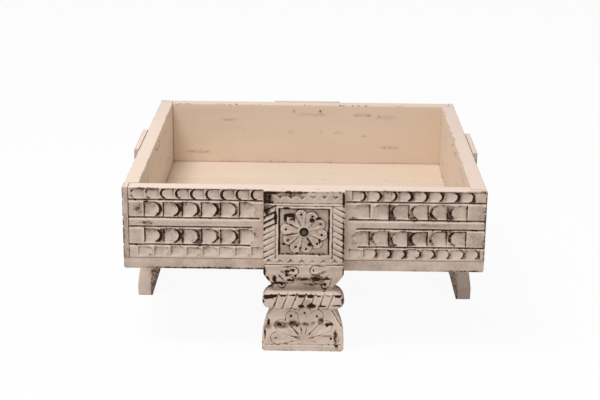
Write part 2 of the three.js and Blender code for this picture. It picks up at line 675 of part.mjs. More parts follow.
// Bowl: a quarter flower of three hollowed petals in each upper corner
const QUARTER_PETALS = 3;
const QUARTER_INSET = 11.5;
// Its centre above the bowl, its hollows' reach and half width, all as shares of the bowl's height
const QUARTER_SHARES = { rise: 0.3, reach: [0.24, 1.1], halfWidth: 0.14 };
const QUARTER_TURN = THREE.MathUtils.degToRad(-8);
const QUARTER_STEP = THREE.MathUtils.degToRad(-28);

function bowlCarving() {
  const reach = QUARTER_SHARES.reach.map((share) => share * bowlHeight);
  return [-1, 1].flatMap((side) => {
    const centre = at2(side * (LEG_HALF - QUARTER_INSET), bowlTop + QUARTER_SHARES.rise * bowlHeight);
    return Array.from({ length: QUARTER_PETALS }, (_, i) => {
      const angle = QUARTER_TURN + i * QUARTER_STEP;
      const inward = side < 0 ? angle : Math.PI - angle;
      return leafHollow(
        legSurface,
        centre,
        inward,
        reach,
        QUARTER_SHARES.halfWidth * bowlHeight,
        V_SECTION_SHARES,
        BENT_LEAF_STROKE_SHARES,
        ROUND_CARVE_LIFT,
      );
    });
  });
}

// Roll: slanting grooves, as on a rope
const ROLL_GROOVES = 7;
const ROLL_GROOVE_PITCH = 11.5;
const ROLL_GROOVE_LEAN = 9;
const ROLL_GROOVE_WIDTH = 2.6;
const ROLL_GROOVE_DEPTH = 1.6;

function rollCarving() {
  return Array.from({ length: ROLL_GROOVES }, (_, i) => {
    const middle = (i - (ROLL_GROOVES - 1) / 2) * ROLL_GROOVE_PITCH;
    const start = at2(middle - ROLL_GROOVE_LEAN / 2, FOOT_HEIGHT);
    const end = at2(middle + ROLL_GROOVE_LEAN / 2, ROLL_ZONE_TOP);
    const [width, depth] = [ROLL_GROOVE_WIDTH / 2, ROLL_GROOVE_DEPTH];
    return stroke(rollSurface, start, end, width, depth, V_SECTION_SHARES, THROUGH_STROKE_SHARES, CARVE_LIFT);
  });
}

// Foot: a half flower of seven hollowed petals fanning from low in the middle, over one level groove
const FAN_PETALS = 7;
// Its centre above the ground, its hollows' reach and half width, all as shares of the foot's height
const FAN_SHARES = { centre: 0.27, reach: [0.2, 0.64], halfWidth: 0.08 };
const FAN_FIRST = THREE.MathUtils.degToRad(5);
const FAN_LAST = THREE.MathUtils.degToRad(175);
const SOLE_LINE_HEIGHT = 9;
const SOLE_LINE_MARGIN = 3;

function footCarving() {
  const centre = at2(0, FAN_SHARES.centre * FOOT_HEIGHT);
  const step = (FAN_LAST - FAN_FIRST) / (FAN_PETALS - 1);
  const reach = FAN_SHARES.reach.map((share) => share * FOOT_HEIGHT);
  const hollows = Array.from({ length: FAN_PETALS }, (_, i) =>
    leafHollow(
      legSurface,
      centre,
      FAN_FIRST + i * step,
      reach,
      FAN_SHARES.halfWidth * FOOT_HEIGHT,
      GOUGE_SECTION_SHARES,
      LEAF_STROKE_SHARES,
      CARVE_LIFT,
    ),
  );
  const soleEnd = footHalf - SOLE_LINE_MARGIN;
  return [...hollows, line(legSurface, at2(-soleEnd, SOLE_LINE_HEIGHT), at2(soleEnd, SOLE_LINE_HEIGHT))];
}

function legGeometry() {
  const plank = extrudeFront(legOutline(), LEG_FRONT_Y - OVERRUN, LEG_THICK + 2 * OVERRUN);
  const shaped = plank.intersect(extrudeAlong(legProfile(), -LEG_WIDTH, LEG_WIDTH)).add(legRoll());
  const carving = [
    ...backChamfers(),
    rosetteRecess(),
    ...rosetteHollows(),
    ...panelCarving(),
    ...bowlCarving(),
    ...rollCarving(),
    ...footCarving(),
    bossHole(),
    ...legNailPlaces.map((place) => nailHole(NAIL_SHANK_RADIUS, LEG_NAIL_LENGTH, place, POINTING_FRONT)),
  ];
  return geometryOf(cutAll(shaped, carving));
}

// Assembly
function named(name, geometry, material, place, turn) {
  const mesh = new THREE.Mesh(geometry, material);
  mesh.name = name;
  if (place) mesh.position.copy(place);
  if (turn) mesh.rotation.copy(turn);
  return mesh;
}

const table = new THREE.Group();
const legShape = legGeometry();
const bossShape = bossGeometry();
const cornerNailShape = nailGeometry(CORNER_NAIL_LENGTH);
const legNailShape = nailGeometry(LEG_NAIL_LENGTH);
const baseNailShape = nailGeometry(BASE_NAIL_LENGTH);
const sideNailPlaces = plankNailRows.flat();
const edgeWall = wallGeometry(edgeNailPlaces);
const sides = [
  { name: "front", wall: edgeWall },
  { name: "right", wall: wallGeometry(sideNailPlaces) },
  { name: "back", wall: edgeWall },
  { name: "left", wall: wallGeometry(sideNailPlaces.map((y) => -y)) },
];

sides.forEach(({ name, wall }, quarter) => {
  const side = new THREE.Group();
  side.rotation.z = (quarter * Math.PI) / 2;
  side.add(named(`${name}_wall`, wall, paintedWood));
  side.add(named(`${name}_leg`, legShape, paintedWood));
  side.add(named(`${name}_boss_nail`, bossShape, blackIron, bossPlace, POINTING_BACK));
  cornerNailPlaces.forEach((place, i) => {
    side.add(named(`${name}_corner_nail_${i + 1}`, cornerNailShape, paintedIron, place, POINTING_BACK));
  });
  legNailPlaces.forEach((place, i) => {
    side.add(named(`${name}_leg_nail_${i + 1}`, legNailShape, paintedIron, place, POINTING_FRONT));
  });
  table.add(side);
});

const slab = baseSlab();
plankNames.forEach((name, index) => {
  table.add(named(name, plankGeometry(slab, index), paintedWood));
  plankNailPlaces(index).forEach((place, i) => {
    table.add(named(`${name}_nail_${i + 1}`, baseNailShape, paintedIron, place, POINTING_UP));
  });
});

export default table;
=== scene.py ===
import random
from math import cos, pi, radians, sin
from types import SimpleNamespace

import bpy
import numpy as np
from mathutils import Matrix, Vector


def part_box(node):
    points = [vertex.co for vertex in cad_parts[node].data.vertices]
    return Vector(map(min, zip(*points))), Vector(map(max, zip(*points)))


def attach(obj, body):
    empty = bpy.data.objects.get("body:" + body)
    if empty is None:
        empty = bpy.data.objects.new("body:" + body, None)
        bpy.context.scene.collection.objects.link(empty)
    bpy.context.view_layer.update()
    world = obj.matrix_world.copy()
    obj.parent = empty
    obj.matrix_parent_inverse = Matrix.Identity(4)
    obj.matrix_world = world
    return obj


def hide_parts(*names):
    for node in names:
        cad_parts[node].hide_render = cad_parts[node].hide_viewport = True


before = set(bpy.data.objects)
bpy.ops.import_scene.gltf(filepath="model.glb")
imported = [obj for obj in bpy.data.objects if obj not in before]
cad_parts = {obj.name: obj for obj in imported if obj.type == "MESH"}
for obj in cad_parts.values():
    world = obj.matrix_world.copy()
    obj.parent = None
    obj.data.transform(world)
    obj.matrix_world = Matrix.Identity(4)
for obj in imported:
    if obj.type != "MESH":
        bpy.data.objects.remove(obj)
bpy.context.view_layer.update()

# The table is looked at from the front and a little above, from about six feet away, with the camera
# rolled by half a degree. It stands on a white floor under one broad soft lamp, and white surroundings
# fill its shadows.
MM = 0.001
CAMERA_PLACE = Vector((9.3, -1812.1, 712.4)) * MM
CAMERA_TURN = radians(-0.53)
CAMERA_TILT = radians(-17.91)
CAMERA_ROLL = radians(0.57)
CAMERA_LENS = 81.3

ahead = Vector((sin(CAMERA_TURN) * cos(CAMERA_TILT), cos(CAMERA_TURN) * cos(CAMERA_TILT), sin(CAMERA_TILT)))
level = Vector((cos(CAMERA_TURN), -sin(CAMERA_TURN), 0))
upright = level.cross(ahead)
across = level * cos(CAMERA_ROLL) + upright * sin(CAMERA_ROLL)
aloft = upright * cos(CAMERA_ROLL) - level * sin(CAMERA_ROLL)

scene = bpy.context.scene


def in_scene(name, data):
    """A new object that shows this data, put in the scene."""
    thing = bpy.data.objects.new(name, data)
    scene.collection.objects.link(thing)
    return thing


scene.view_settings.view_transform = "Standard"
camera = in_scene("camera", bpy.data.cameras.new("camera"))
camera.data.lens = CAMERA_LENS
camera.matrix_world = Matrix((across, aloft, -ahead)).transposed().to_4x4()
camera.location = CAMERA_PLACE
scene.camera = camera

LAMP_PLACE = Vector((-0.6, -0.55, 1.9))
LAMP_AIM = Vector((0, 0, 0.1))
LAMP_SIZE = 0.9
LAMP_POWER = 25
lamp = in_scene("soft_lamp", bpy.data.lights.new("soft_lamp", "AREA"))
lamp.data.shape = "DISK"
lamp.data.size = LAMP_SIZE
lamp.data.energy = LAMP_POWER
lamp.location = LAMP_PLACE
lamp.rotation_euler = (LAMP_AIM - LAMP_PLACE).to_track_quat("-Z", "Y").to_euler()

WHITE = (1, 1, 1, 1)
SURROUND_LIGHT = 0.5
FLOOR_HALF = 6
FLOOR_WHITE = (0.86, 0.86, 0.86, 1)
FLOOR_ROUGHNESS = 0.9
FLOOR_GLOW_SHARE = 0.94


def feed(tree, entry, value):
    """Links a node's input to a socket, or sets it to a plain value."""
    source = getattr(value, "socket", value)
    if isinstance(source, bpy.types.NodeSocket):
        tree.links.new(source, entry)
    else:
        entry.default_value = source


def add_node(tree, kind, entries=(), **settings):
    """A new node with its settings made, and its inputs fed by their names or numbers."""
    node = tree.nodes.new(kind)
    for name, setting in settings.items():
        setattr(node, name, setting)
    for name, value in dict(entries).items():
        feed(tree, node.inputs[name], value)
    return node


def new_paint(name):
    """A material made of nodes, and its tree of nodes."""
    material = bpy.data.materials.new(name)
    material.use_nodes = True
    return material, material.node_tree


def backdrop_share(tree):
    """One where the camera, a reflection or a see-through part looks at the backdrop."""
    rays = tree.nodes.new("ShaderNodeLightPath").outputs
    share = rays["Is Camera Ray"]
    for name in ("Is Glossy Ray", "Is Transmission Ray"):
        entries = {0: share, 1: rays[name]}
        share = add_node(tree, "ShaderNodeMath", entries, operation="ADD", use_clamp=True).outputs[0]
    return share


world = bpy.data.worlds.new("white_surroundings")
world.use_nodes = True
scene.world = world
air = world.node_tree
strength = add_node(air, "ShaderNodeMapRange", {"To Min": SURROUND_LIGHT, "Value": backdrop_share(air)})
feed(air, air.nodes["Background"].inputs["Strength"], strength.outputs["Result"])
feed(air, air.nodes["Background"].inputs["Color"], WHITE)

floor_mesh = bpy.data.meshes.new("floor")
floor_corners = [(x * FLOOR_HALF, y * FLOOR_HALF, 0) for x, y in ((-1, -1), (1, -1), (1, 1), (-1, 1))]
floor_mesh.from_pydata(floor_corners, [], [(0, 1, 2, 3)])
floor = in_scene("floor", floor_mesh)
floor_paint, coat = new_paint("white_floor")
matt = coat.nodes["Principled BSDF"]
feed(coat, matt.inputs["Base Color"], FLOOR_WHITE)
feed(coat, matt.inputs["Roughness"], FLOOR_ROUGHNESS)
entries = {0: backdrop_share(coat), 1: FLOOR_GLOW_SHARE}
glow_share = add_node(coat, "ShaderNodeMath", entries, operation="MULTIPLY").outputs[0]
glow = coat.nodes.new("ShaderNodeEmission").outputs[0]
blend = add_node(coat, "ShaderNodeMixShader", {0: glow_share, 1: matt.outputs[0], 2: glow})
feed(coat, coat.nodes["Material Output"].inputs["Surface"], blend.outputs[0])
floor_mesh.materials.append(floor_paint)

# Four wall boards of soft wood, each rebated at one end to take its neighbour. The outer face has four
# rows of gouge cuts and four grooves: a stop is struck across the row, and the gouge runs in to meet it.
# Cream paint over dark brown wood, rubbed through on the ridges and holding old dirt in the cuts, which are
# also given painted shade towards their upper edges.
SIDES = ("front", "right", "back", "left")
TRAY_HALF = 225
WALL_THICK = 19
WALL_FOOT = 121.3
RIM = 213.3
WALL_HEIGHT = RIM - WALL_FOOT
SQUARE_END = -217.7
REBATE_START = 205.7
LIP_THICK = 7
LEG_HALF = 50.5
RIM_EASE = 1.6
FOOT_EASE = 0.7
CARVED_PITCH = 0.72
PLAIN_PITCH = 2.4
GROOVE_PITCH = 0.4
ALONG_PITCH = 0.82
GROOVE_REACH = 1.6
WANDER = 0.55 * MM
PLAIN_TO_SEE = 0.55 * MM
END_MARGINS = (2.3, 0.7)
RIM_STEPS = 5
RIM_ROWS = 9
RIM_MARGIN = 2.2
INNER_ROWS = 20
INNER_FOOT_EASE = 1.5
FOOT_MIDDLE = 10
CLOSE = 0.05
STOP_ROOM = 0.3
SHARP_ANGLE = radians(34)
EDGE_WEAR = 1.3
END_WEAR = 2.4
END_REACH = 8
FAR_FROM_EDGE = 40
STAIN_WANDER = 5
STAIN_LIFT = 3
STAINS_LEFT_OUT = 0.35

LARGE_CUT = {"Height": 19, "Gap": 3.9, "Depth": 3.6, "Bend": 0.5, "Stop": 1.1}
SMALL_CUT = {"Height": 12.6, "Gap": 3.7, "Depth": 2.4, "Bend": 0.3, "Stop": 0.2}
SHALLOW_CUT = {"Height": 12, "Gap": 2.6, "Depth": 1.9, "Bend": 0.4, "Stop": 0.1}
# Half rows: level as a share of the wall's height, half, way the round ends face, start out from the
# middle, pitch, count, cut, the first cut and the one past the last that are worn and dirty in full, how
# far their lands are rubbed to the wood, and how dark their dirt and painted shadow lines are
CUT_ROWS = (
    (0.087, -1, 1, 48.9, 18.65, 9, SMALL_CUT, 0, 7, 0.1, 1.5),
    (0.087, 1, 1, 58.5, 19.1, 8, SMALL_CUT, 0, 8, 0.8, 0.9),
    (0.302, -1, -1, 57, 23.6, 6, LARGE_CUT, 1, 6, 0.72, 0.8),
    (0.302, 1, -1, 57.7, 24, 6, LARGE_CUT, 2, 6, 0.85, 0.55),
    (0.683, -1, -1, 57, 23.6, 6, LARGE_CUT, 1, 6, 0.7, 0.85),
    (0.683, 1, -1, 57.7, 24, 6, LARGE_CUT, 1, 6, 0.8, 0.65),
    (0.902, -1, -1, 45.1, 20.2, 8, SHALLOW_CUT, 0, 8, 0, 0.15),
    (0.902, 1, 1, 55.8, 18.2, 9, SHALLOW_CUT, 1, 9, 0.7, 0.7),
)
# Grooves: level as a share of the wall's height, and where each stops short of the leg
GROOVES = ((0.171, 52), (0.422, 56), (0.551, 66), (0.808, 68))
GROOVE_WIDTH = 3.2
GROOVE_DEPTH = 1.9


def srgb(red, green, blue):
    """A colour as seen on a screen, 0 to 255, as the linear colour that a shader takes."""
    parts = [value / 255 for value in (red, green, blue)]
    return tuple(v / 12.92 if v <= 0.04045 else ((v + 0.055) / 1.055) ** 2.4 for v in parts) + (1,)


class Value:
    """A number in a node tree. Arithmetic on it adds Math nodes."""

    def __init__(self, tree, socket):
        self.tree = tree
        self.socket = socket

    def math(self, operation, *others, clamp=False):
        entries = enumerate((self, *others))
        node = add_node(self.tree, "ShaderNodeMath", entries, operation=operation, use_clamp=clamp)
        return Value(self.tree, node.outputs[0])

    def __rsub__(self, other):
        return (self * -1) + other

    def clamped(self):
        return self.math("ADD", 0, clamp=True)


def math_method(operation):
    return lambda value, *others: value.math(operation, *others)


MATH_METHODS = {
    "ADD": ("__add__", "__radd__"),
    "SUBTRACT": ("__sub__",),
    "MULTIPLY": ("__mul__", "__rmul__"),
    "DIVIDE": ("__truediv__",),
    "POWER": ("__pow__",),
    "ABSOLUTE": ("__abs__",),
    "FLOOR": ("floor",),
    "SQRT": ("root",),
    "MINIMUM": ("least",),
    "MAXIMUM": ("most",),
    "GREATER_THAN": ("above",),
    "LESS_THAN": ("below",),
}
for operation, names in MATH_METHODS.items():
    for name in names:
        setattr(Value, name, math_method(operation))


def ease(value, low, high):
    """Nought at low, one at high, with a soft start and end."""
    entries = {"Value": value, "From Min": low, "From Max": high}
    node = add_node(value.tree, "ShaderNodeMapRange", entries, interpolation_type="SMOOTHSTEP")
    return Value(value.tree, node.outputs["Result"])


def noise(tree, vector, scale, detail=3, roughness=0.5, stretch=(1, 1, 1), shift=0):
    """Grain or blotches: scale is per metre, and a small stretch draws them out along that axis."""
    entries = {0: vector, 1: stretch, 2: (shift, shift * 0.7, -shift)}
    placed = add_node(tree, "ShaderNodeVectorMath", entries, operation="MULTIPLY_ADD")
    entries = {"Scale": scale, "Detail": detail, "Roughness": roughness, "Vector": placed.outputs[0]}
    return Value(tree, add_node(tree, "ShaderNodeTexNoise", entries).outputs[0])


def mixed(tree, share, first, second, blend_type="MIX"):
    """Second over first by share."""
    entries = {0: share, 6: first, 7: second}
    return add_node(tree, "ShaderNodeMix", entries, data_type="RGBA", blend_type=blend_type).outputs[2]


RIM_CREAM = srgb(227, 206, 192)
INSIDE_CREAM = srgb(226, 206, 186)
OUTSIDE_CREAM = srgb(226, 204, 188)
OUTSIDE_WASH = srgb(180, 158, 142)
# Paler cream for ridges, also used as a painted highlight on the lower lips of the grooves.
RIDGE_AND_HIGHLIGHT_CREAM = srgb(240, 222, 206)
RUBBED_WOOD = srgb(126, 92, 74)
BARE_WOOD = srgb(84, 60, 49)
# Black of old dirt, also the colour of the painted shadow lines and shade.
OLD_DIRT_AND_SHADE = srgb(32, 20, 15)
IRON_UNDER = srgb(70, 58, 52)


def finish(tree, colour, roughness, shine, relief, strength, distance):
    """Gives a material's shader its colour, its sheen and its fine relief."""
    entries = {"Strength": strength, "Distance": distance, "Height": relief}
    normal = add_node(tree, "ShaderNodeBump", entries).outputs[0]
    looks = {"Base Color": colour, "Roughness": roughness, "Specular IOR Level": shine, "Normal": normal}
    for name, value in looks.items():
        feed(tree, tree.nodes["Principled BSDF"].inputs[name], value)


def noted(tree, name):
    return add_node(tree, "ShaderNodeAttribute", attribute_name=name).outputs


def worn_paint(name, rubbed, bare):
    """Cream paint, worn. The boards carry how far each point is cut, rubbed, dirty, in painted shade and near
    an edge.
    """
    material, tree = new_paint(name)
    board = noted(tree, "board")["Vector"]
    names = ("edge", "rub", "ridge", "hollow", "ink", "tone", "soil", "scoop")
    marks = (Value(tree, noted(tree, name)["Fac"]) for name in names)
    edge, rub, ridge, hollow, ink, tone, soil, scoop = marks
    blotch = ease(noise(tree, board, 34, 4, 0.6), 0.3, 0.7)
    flecks = ease(noise(tree, board, 260, 5, 0.7, shift=3), 0.3, 0.7)
    streaks = ease(noise(tree, board, 90, 4, 0.6, stretch=(0.07, 1, 1), shift=7), 0.25, 0.75)
    smudge = ease(noise(tree, board, 9, 3, 0.5, stretch=(0.35, 1, 1), shift=11), 0.25, 0.75)
    outside = 1 - ease(tone, 0.05, 0.4)

    washed = blotch * 0.45 + streaks * 0.35 + smudge * 0.35 + flecks * 0.2 - scoop * 0.3 + hollow * 0.3 - 0.3
    washed = washed.math("MULTIPLY", 1.3, clamp=True)
    outer = mixed(tree, washed, OUTSIDE_CREAM, OUTSIDE_WASH)
    # Paler cream on the ridges beside the cuts, and a painted highlight on the grooves' lower lips.
    outer = mixed(tree, (ridge * 1.2 - ink).clamped() * 0.9, outer, RIDGE_AND_HIGHLIGHT_CREAM)
    paint = mixed(tree, ease(tone, 0, 0.5), outer, RIM_CREAM)
    paint = mixed(tree, ease(tone, 0.5, 1), paint, INSIDE_CREAM)
    shade = 0.94 + streaks * 0.04 + smudge * 0.06
    grey = add_node(tree, "ShaderNodeCombineColor", {0: shade, 1: shade, 2: shade}).outputs[0]
    paint = mixed(tree, 1.0, paint, grey, "MULTIPLY")

    # Brown staining from the soil marks, which also carry painted shade.
    stain_and_shade = hollow * 0.4 + ink * 0.8 + soil * 0.75 + blotch * 0.25 + flecks * 0.3 - 0.32
    stain_and_shade = ease(stain_and_shade, 0, 0.9) * 0.8
    paint = mixed(tree, stain_and_shade * (0.45 + outside * 0.55), paint, rubbed)
    wood = mixed(tree, streaks, bare, rubbed)
    worn = ease(rub * 0.8 + edge * 0.7 + (blotch - 0.5) * 0.4 + (flecks - 0.5) * 0.55, 0.44, 0.66)
    colour = mixed(tree, worn, paint, wood)
    # Old dirt, darkest in the ink marks, which also carry painted shadow lines and shade.
    dirt_and_shade = hollow * 0.2 + ink * 0.95 + soil * 0.3 + (blotch - 0.5) * 0.25 + (flecks - 0.5) * 0.9
    dirt_and_shade = ease(dirt_and_shade, 0.46, 0.76)
    colour = mixed(tree, dirt_and_shade * 0.94, colour, OLD_DIRT_AND_SHADE)
    roughness = 0.72 - worn * 0.12 + dirt_and_shade * 0.12 + (flecks - 0.5) * 0.1
    relief = flecks * 0.4 + streaks * 0.5 - worn * 0.45
    finish(tree, colour, roughness, 0.3 - dirt_and_shade * 0.22, relief, 0.5, 0.5 * MM)
    return material


painted_wood = worn_paint("worn_cream_paint", RUBBED_WOOD, BARE_WOOD)


def plain(name):
    """An input's name as it is written in the calls."""
    return name.lower().replace(" ", "_")


def new_tree(name, *sizes):
    """A Geometry Nodes tree with named inputs: its geometry, and the inputs as values by their names."""
    tree = bpy.data.node_groups.new(name, "GeometryNodeTree")
    tree.interface.new_socket("Geometry", in_out="INPUT", socket_type="NodeSocketGeometry")
    for size in sizes:
        tree.interface.new_socket(size, in_out="INPUT", socket_type="NodeSocketFloat")
    tree.interface.new_socket("Geometry", in_out="OUTPUT", socket_type="NodeSocketGeometry")
    entries = tree.nodes.new("NodeGroupInput").outputs
    values = {plain(size): Value(tree, entries[size]) for size in sizes}
    return tree, entries["Geometry"], SimpleNamespace(**values)


def close_tree(tree, geometry, material):
    real = add_node(tree, "GeometryNodeRealizeInstances", {0: geometry}).outputs["Geometry"]
    dressed = add_node(tree, "GeometryNodeSetMaterial", {"Geometry": real, "Material": material})
    add_node(tree, "NodeGroupOutput", {"Geometry": dressed.outputs["Geometry"]})
    return tree


def stored(tree, name, data_type="FLOAT"):
    node = add_node(tree, "GeometryNodeInputNamedAttribute", {"Name": name}, data_type=data_type)
    return Value(tree, node.outputs["Attribute"])


def store(tree, geometry, name, value, data_type="FLOAT"):
    entries = {"Name": name, "Geometry": geometry, "Value": value}
    kind = "GeometryNodeStoreNamedAttribute"
    return add_node(tree, kind, entries, data_type=data_type, domain="POINT").outputs["Geometry"]


def point_place(tree):
    """Where a point lies, as one vector and as its three values."""
    place = tree.nodes.new("GeometryNodeInputPosition").outputs[0]
    parts = add_node(tree, "ShaderNodeSeparateXYZ", {0: place}).outputs
    return place, [Value(tree, parts[axis]) for axis in "XYZ"]


def combined(tree, x=0, y=0, z=0):
    return add_node(tree, "ShaderNodeCombineXYZ", {"X": x, "Y": y, "Z": z}).outputs[0]


def moved(tree, geometry, **entries):
    """The geometry with each point moved by an Offset, or to a Position."""
    node = add_node(tree, "GeometryNodeSetPosition", {"Geometry": geometry, **entries})
    return node.outputs["Geometry"]


def dented(tree, geometry, dents):
    """Sinks each point by the dents against the way that its skin faces."""
    normal = tree.nodes.new("GeometryNodeInputNormal").outputs[0]
    inward = add_node(tree, "ShaderNodeVectorMath", {0: normal, "Scale": dents * -1}, operation="SCALE")
    return moved(tree, geometry, Offset=inward.outputs[0])


def hand_place(tree, seed, waver=WANDER):
    """Where a point lies across and up the face, moved a little, as a hand-held tool wanders."""
    _, (x, _, z) = point_place(tree)
    shifted = combined(tree, x, seed * 0.37, z)
    drift_x = noise(tree, shifted, 60, 1) - 0.5
    drift_z = noise(tree, shifted, 55, 1, shift=5) - 0.5
    return x + drift_x * 2 * waver, z + drift_z * 2 * waver


def chance(cell, seed, spread):
    """A number between minus spread and spread that is the same all over one cell."""
    entries = {2: -spread, 3: spread, "ID": cell, "Seed": seed}
    node = add_node(cell.tree, "FunctionNodeRandomValue", entries, data_type="FLOAT")
    return Value(cell.tree, node.outputs[1])


def leave_marks(tree, geometry, depth, ink, **others):
    """Keeps the deepest cut and the strongest of each other mark at each point of the face."""
    face = stored(tree, "face")
    for name, mark in {"cut": depth, "ink": ink, **others}.items():
        geometry = store(tree, geometry, name, stored(tree, name).most(mark * face))
    return close_tree(tree, geometry, painted_wood)


def gouge_row():
    """Gouge cuts side by side: flat at the stop, round where the gouge ran in, then a land up to the next."""
    sizes = ("Side", "Start", "Pitch", "Count", "Level", "Height", "Gap", "Depth", "Bend", "Stop")
    looks = ("Round end", "Clean", "Dirty", "Rub", "Ink", "Seed")
    tree, geometry, size = new_tree("gouge_row", *sizes, *looks)
    seed = size.seed
    x, z = hand_place(tree, seed, 0.3 * MM)
    run = point_place(tree)[1][0] * size.side - size.start
    cell = (run / size.pitch).floor()
    local = run - cell * size.pitch
    within = cell.above(-0.5) * cell.below(size.count - 0.5)
    length = size.pitch - size.gap
    along = (local - size.pitch * 0.5) * size.round_end + size.pitch * 0.5
    half = size.height * 0.5 * (1 + chance(cell, seed, 0.04))
    rise = z - size.level - chance(cell, seed + 1, 0.35 * MM)
    off = abs(rise) / half
    bend = length * size.bend
    bent = ((along - length + bend) / bend).most(0)
    ring = (bent * bent + off * off).root()
    beyond = (ring - 1) * (bend + half) * 0.5
    inside = ring.below(1) * along.above(0) * within
    cove = (1 - off * off).most(0) ** 0.65
    entry = (along / length).clamped()
    depth = size.depth * (1 + chance(cell, seed + 2, 0.12)) * cove * (1 - entry**2.4) * inside
    in_row = ease(off, 1.08, 0.96) * within
    stop = ease(along, 1.7 * MM, 0.7 * MM) * in_row * size.stop * (0.75 + chance(cell, seed + 3, 0.3))
    turned = ease(along, length * 0.55, length * 0.82)
    thick = size.gap * (1.05 - off * off * 0.75)
    kept = cell.above(size.clean - 0.5) * cell.below(size.dirty - 0.5) * 0.75 + 0.25
    dark = size.ink * kept * (0.9 + chance(cell, seed + 4, 0.3))
    crescent = ease(beyond, thick, thick * 0.6) * ease(beyond, -0.4 * MM, 0.2 * MM) * turned * in_row * dark
    line = (1 - abs(beyond) / (1.4 * MM)).most(0) * turned * in_row * (dark * 1.4 + 0.2)
    # Painted shadow: a dark line along the top edge inside each cut, where its upper wall looks down.
    brow_shadow = inside * ease(off, 0.78, 0.94) * rise.above(0)
    brow_shadow = brow_shadow * (0.75 + chance(cell, seed + 5, 0.4)) * (0.4 + dark)
    land = ease(beyond, -0.2 * MM, 0.4 * MM) * in_row * ease(along, length * 0.72, length * 0.93)
    rubbed = land * size.rub * kept * (0.9 + chance(cell, seed + 6, 0.35))
    ink = stop.most(crescent).most(line).most(brow_shadow)
    # Painted shade: each cut grows darker towards its upper edge, where the cove looks down; it goes in with
    # the soil marks.
    shaded = inside * ease(rise / half, -0.1, 1) * 0.6
    return leave_marks(tree, geometry, depth, ink, rub=rubbed, soil=rubbed.most(shaded), scoop=cove * inside)


def stroke_row():
    """Parallel V grooves, each from its start over its run, stepped along."""
    sizes = ("First X", "First Z", "Step X", "Step Z", "Count", "Run X", "Run Z", "Width", "Depth", "Taper")
    tree, geometry, size = new_tree("stroke_row", *sizes, "Ink", "Blot", "Lip", "Seed")
    seed = size.seed
    x, z = hand_place(tree, seed)
    run_x, run_z = size.run_x, size.run_z
    from_x, from_z = x - size.first_x, z - size.first_z
    aside = from_z * run_x - from_x * run_z
    step_aside = size.step_z * run_x - size.step_x * run_z
    cell = (aside / step_aside + 0.5).floor().most(0).least(size.count - 1)
    near_x, near_z = from_x - cell * size.step_x, from_z - cell * size.step_z
    share = ((near_x * run_x + near_z * run_z) / (run_x * run_x + run_z * run_z)).clamped()
    off_x, off_z = near_x - run_x * share, near_z - run_z * share
    off = (off_x * off_x + off_z * off_z).root()
    taper = 1 - share * size.taper
    upper = ease(off_z, -0.15 * MM, 0.15 * MM)
    half = size.width * (0.68 - 0.36 * upper) * taper * (1 + chance(cell, seed, 0.12))
    valley = (1 - off / half.most(0.01 * MM)).most(0)
    depth = size.depth * (0.35 + taper * 0.65) * valley**0.85
    # Painted shade: the ink is heavier on the groove's upper wall, which looks down.
    shaded = 0.25 + 0.9 * ease(off_z, -0.55 * MM, 0)
    blot = 1 + size.blot * (ease(share, 0.45, 0) * (1.4 + chance(cell, seed + 2, 0.8)) - 0.35)
    ink = size.ink * shaded * blot * ease(valley, 0, 0.35) * (0.9 + chance(cell, seed + 1, 0.25))
    # Painted highlight: a pale band just below each groove, where the lower wall looks up to the light.
    lip = ease(off_z, half * -1 - 2 * MM, half * -1 - 1.1 * MM) * ease(off_z, half * -0.4, half * -0.8)
    return leave_marks(tree, geometry, depth, ink, lip=lip * size.lip * ease(off, 3.4 * MM, 3 * MM))


def carve():
    """Sinks the face by its cuts, roughens it a little, and notes hollows for dirt, ridges for paler cream
    and painted highlight.
    """
    tree, geometry, size = new_tree("carve", "Roughness")
    cut = stored(tree, "cut")

    def blurred(value, iterations):
        entries = {"Iterations": iterations, "Value": value}
        return Value(tree, add_node(tree, "GeometryNodeBlurAttribute", entries, data_type="FLOAT").outputs[0])

    around = blurred(cut, 14)
    ridge = ((around - cut) / PLAIN_TO_SEE).clamped()
    geometry = store(tree, geometry, "hollow", ((blurred(cut, 1) - around) / PLAIN_TO_SEE).clamped())
    geometry = store(tree, geometry, "ridge", (ridge * 0.6).most(stored(tree, "lip")))
    geometry = moved(tree, geometry, Offset=combined(tree, y=cut * stored(tree, "face")))
    geometry = dented(tree, geometry, noise(tree, point_place(tree)[0], 45, 3) * size.roughness)
    return close_tree(tree, geometry, painted_wood)


GOUGE_ROW, STROKE_ROW, CARVE = gouge_row(), stroke_row(), carve()
WALL_ROUGHNESS = 0.25 * MM
WALL_GRAIN = 0.83


def mm(**lengths):
    """Lengths given in millimetres, as the metres that the trees take."""
    return {name: length * MM for name, length in lengths.items()}


def add_tree(piece, tree, **sizes):
    """Puts a tree on a piece, with its inputs set by the sockets' identifiers."""
    modifier = piece.modifiers.new(tree.name, "NODES")
    modifier.node_group = tree
    for item in tree.interface.items_tree:
        if item.in_out == "INPUT" and plain(item.name) in sizes:
            modifier[item.identifier] = float(sizes[plain(item.name)])


def baked(piece, turn):
    """The piece with its trees turned into a plain mesh, and brought round to its side of the table."""
    bpy.context.view_layer.update()
    graph = bpy.context.evaluated_depsgraph_get()
    built = piece.evaluated_get(graph)
    mesh = bpy.data.meshes.new_from_object(built, preserve_all_data_layers=True, depsgraph=graph)
    mesh.name = piece.name
    piece.modifiers.clear()
    piece.data = mesh
    mesh.transform(Matrix.Rotation(turn, 4, "Z"))
    return piece


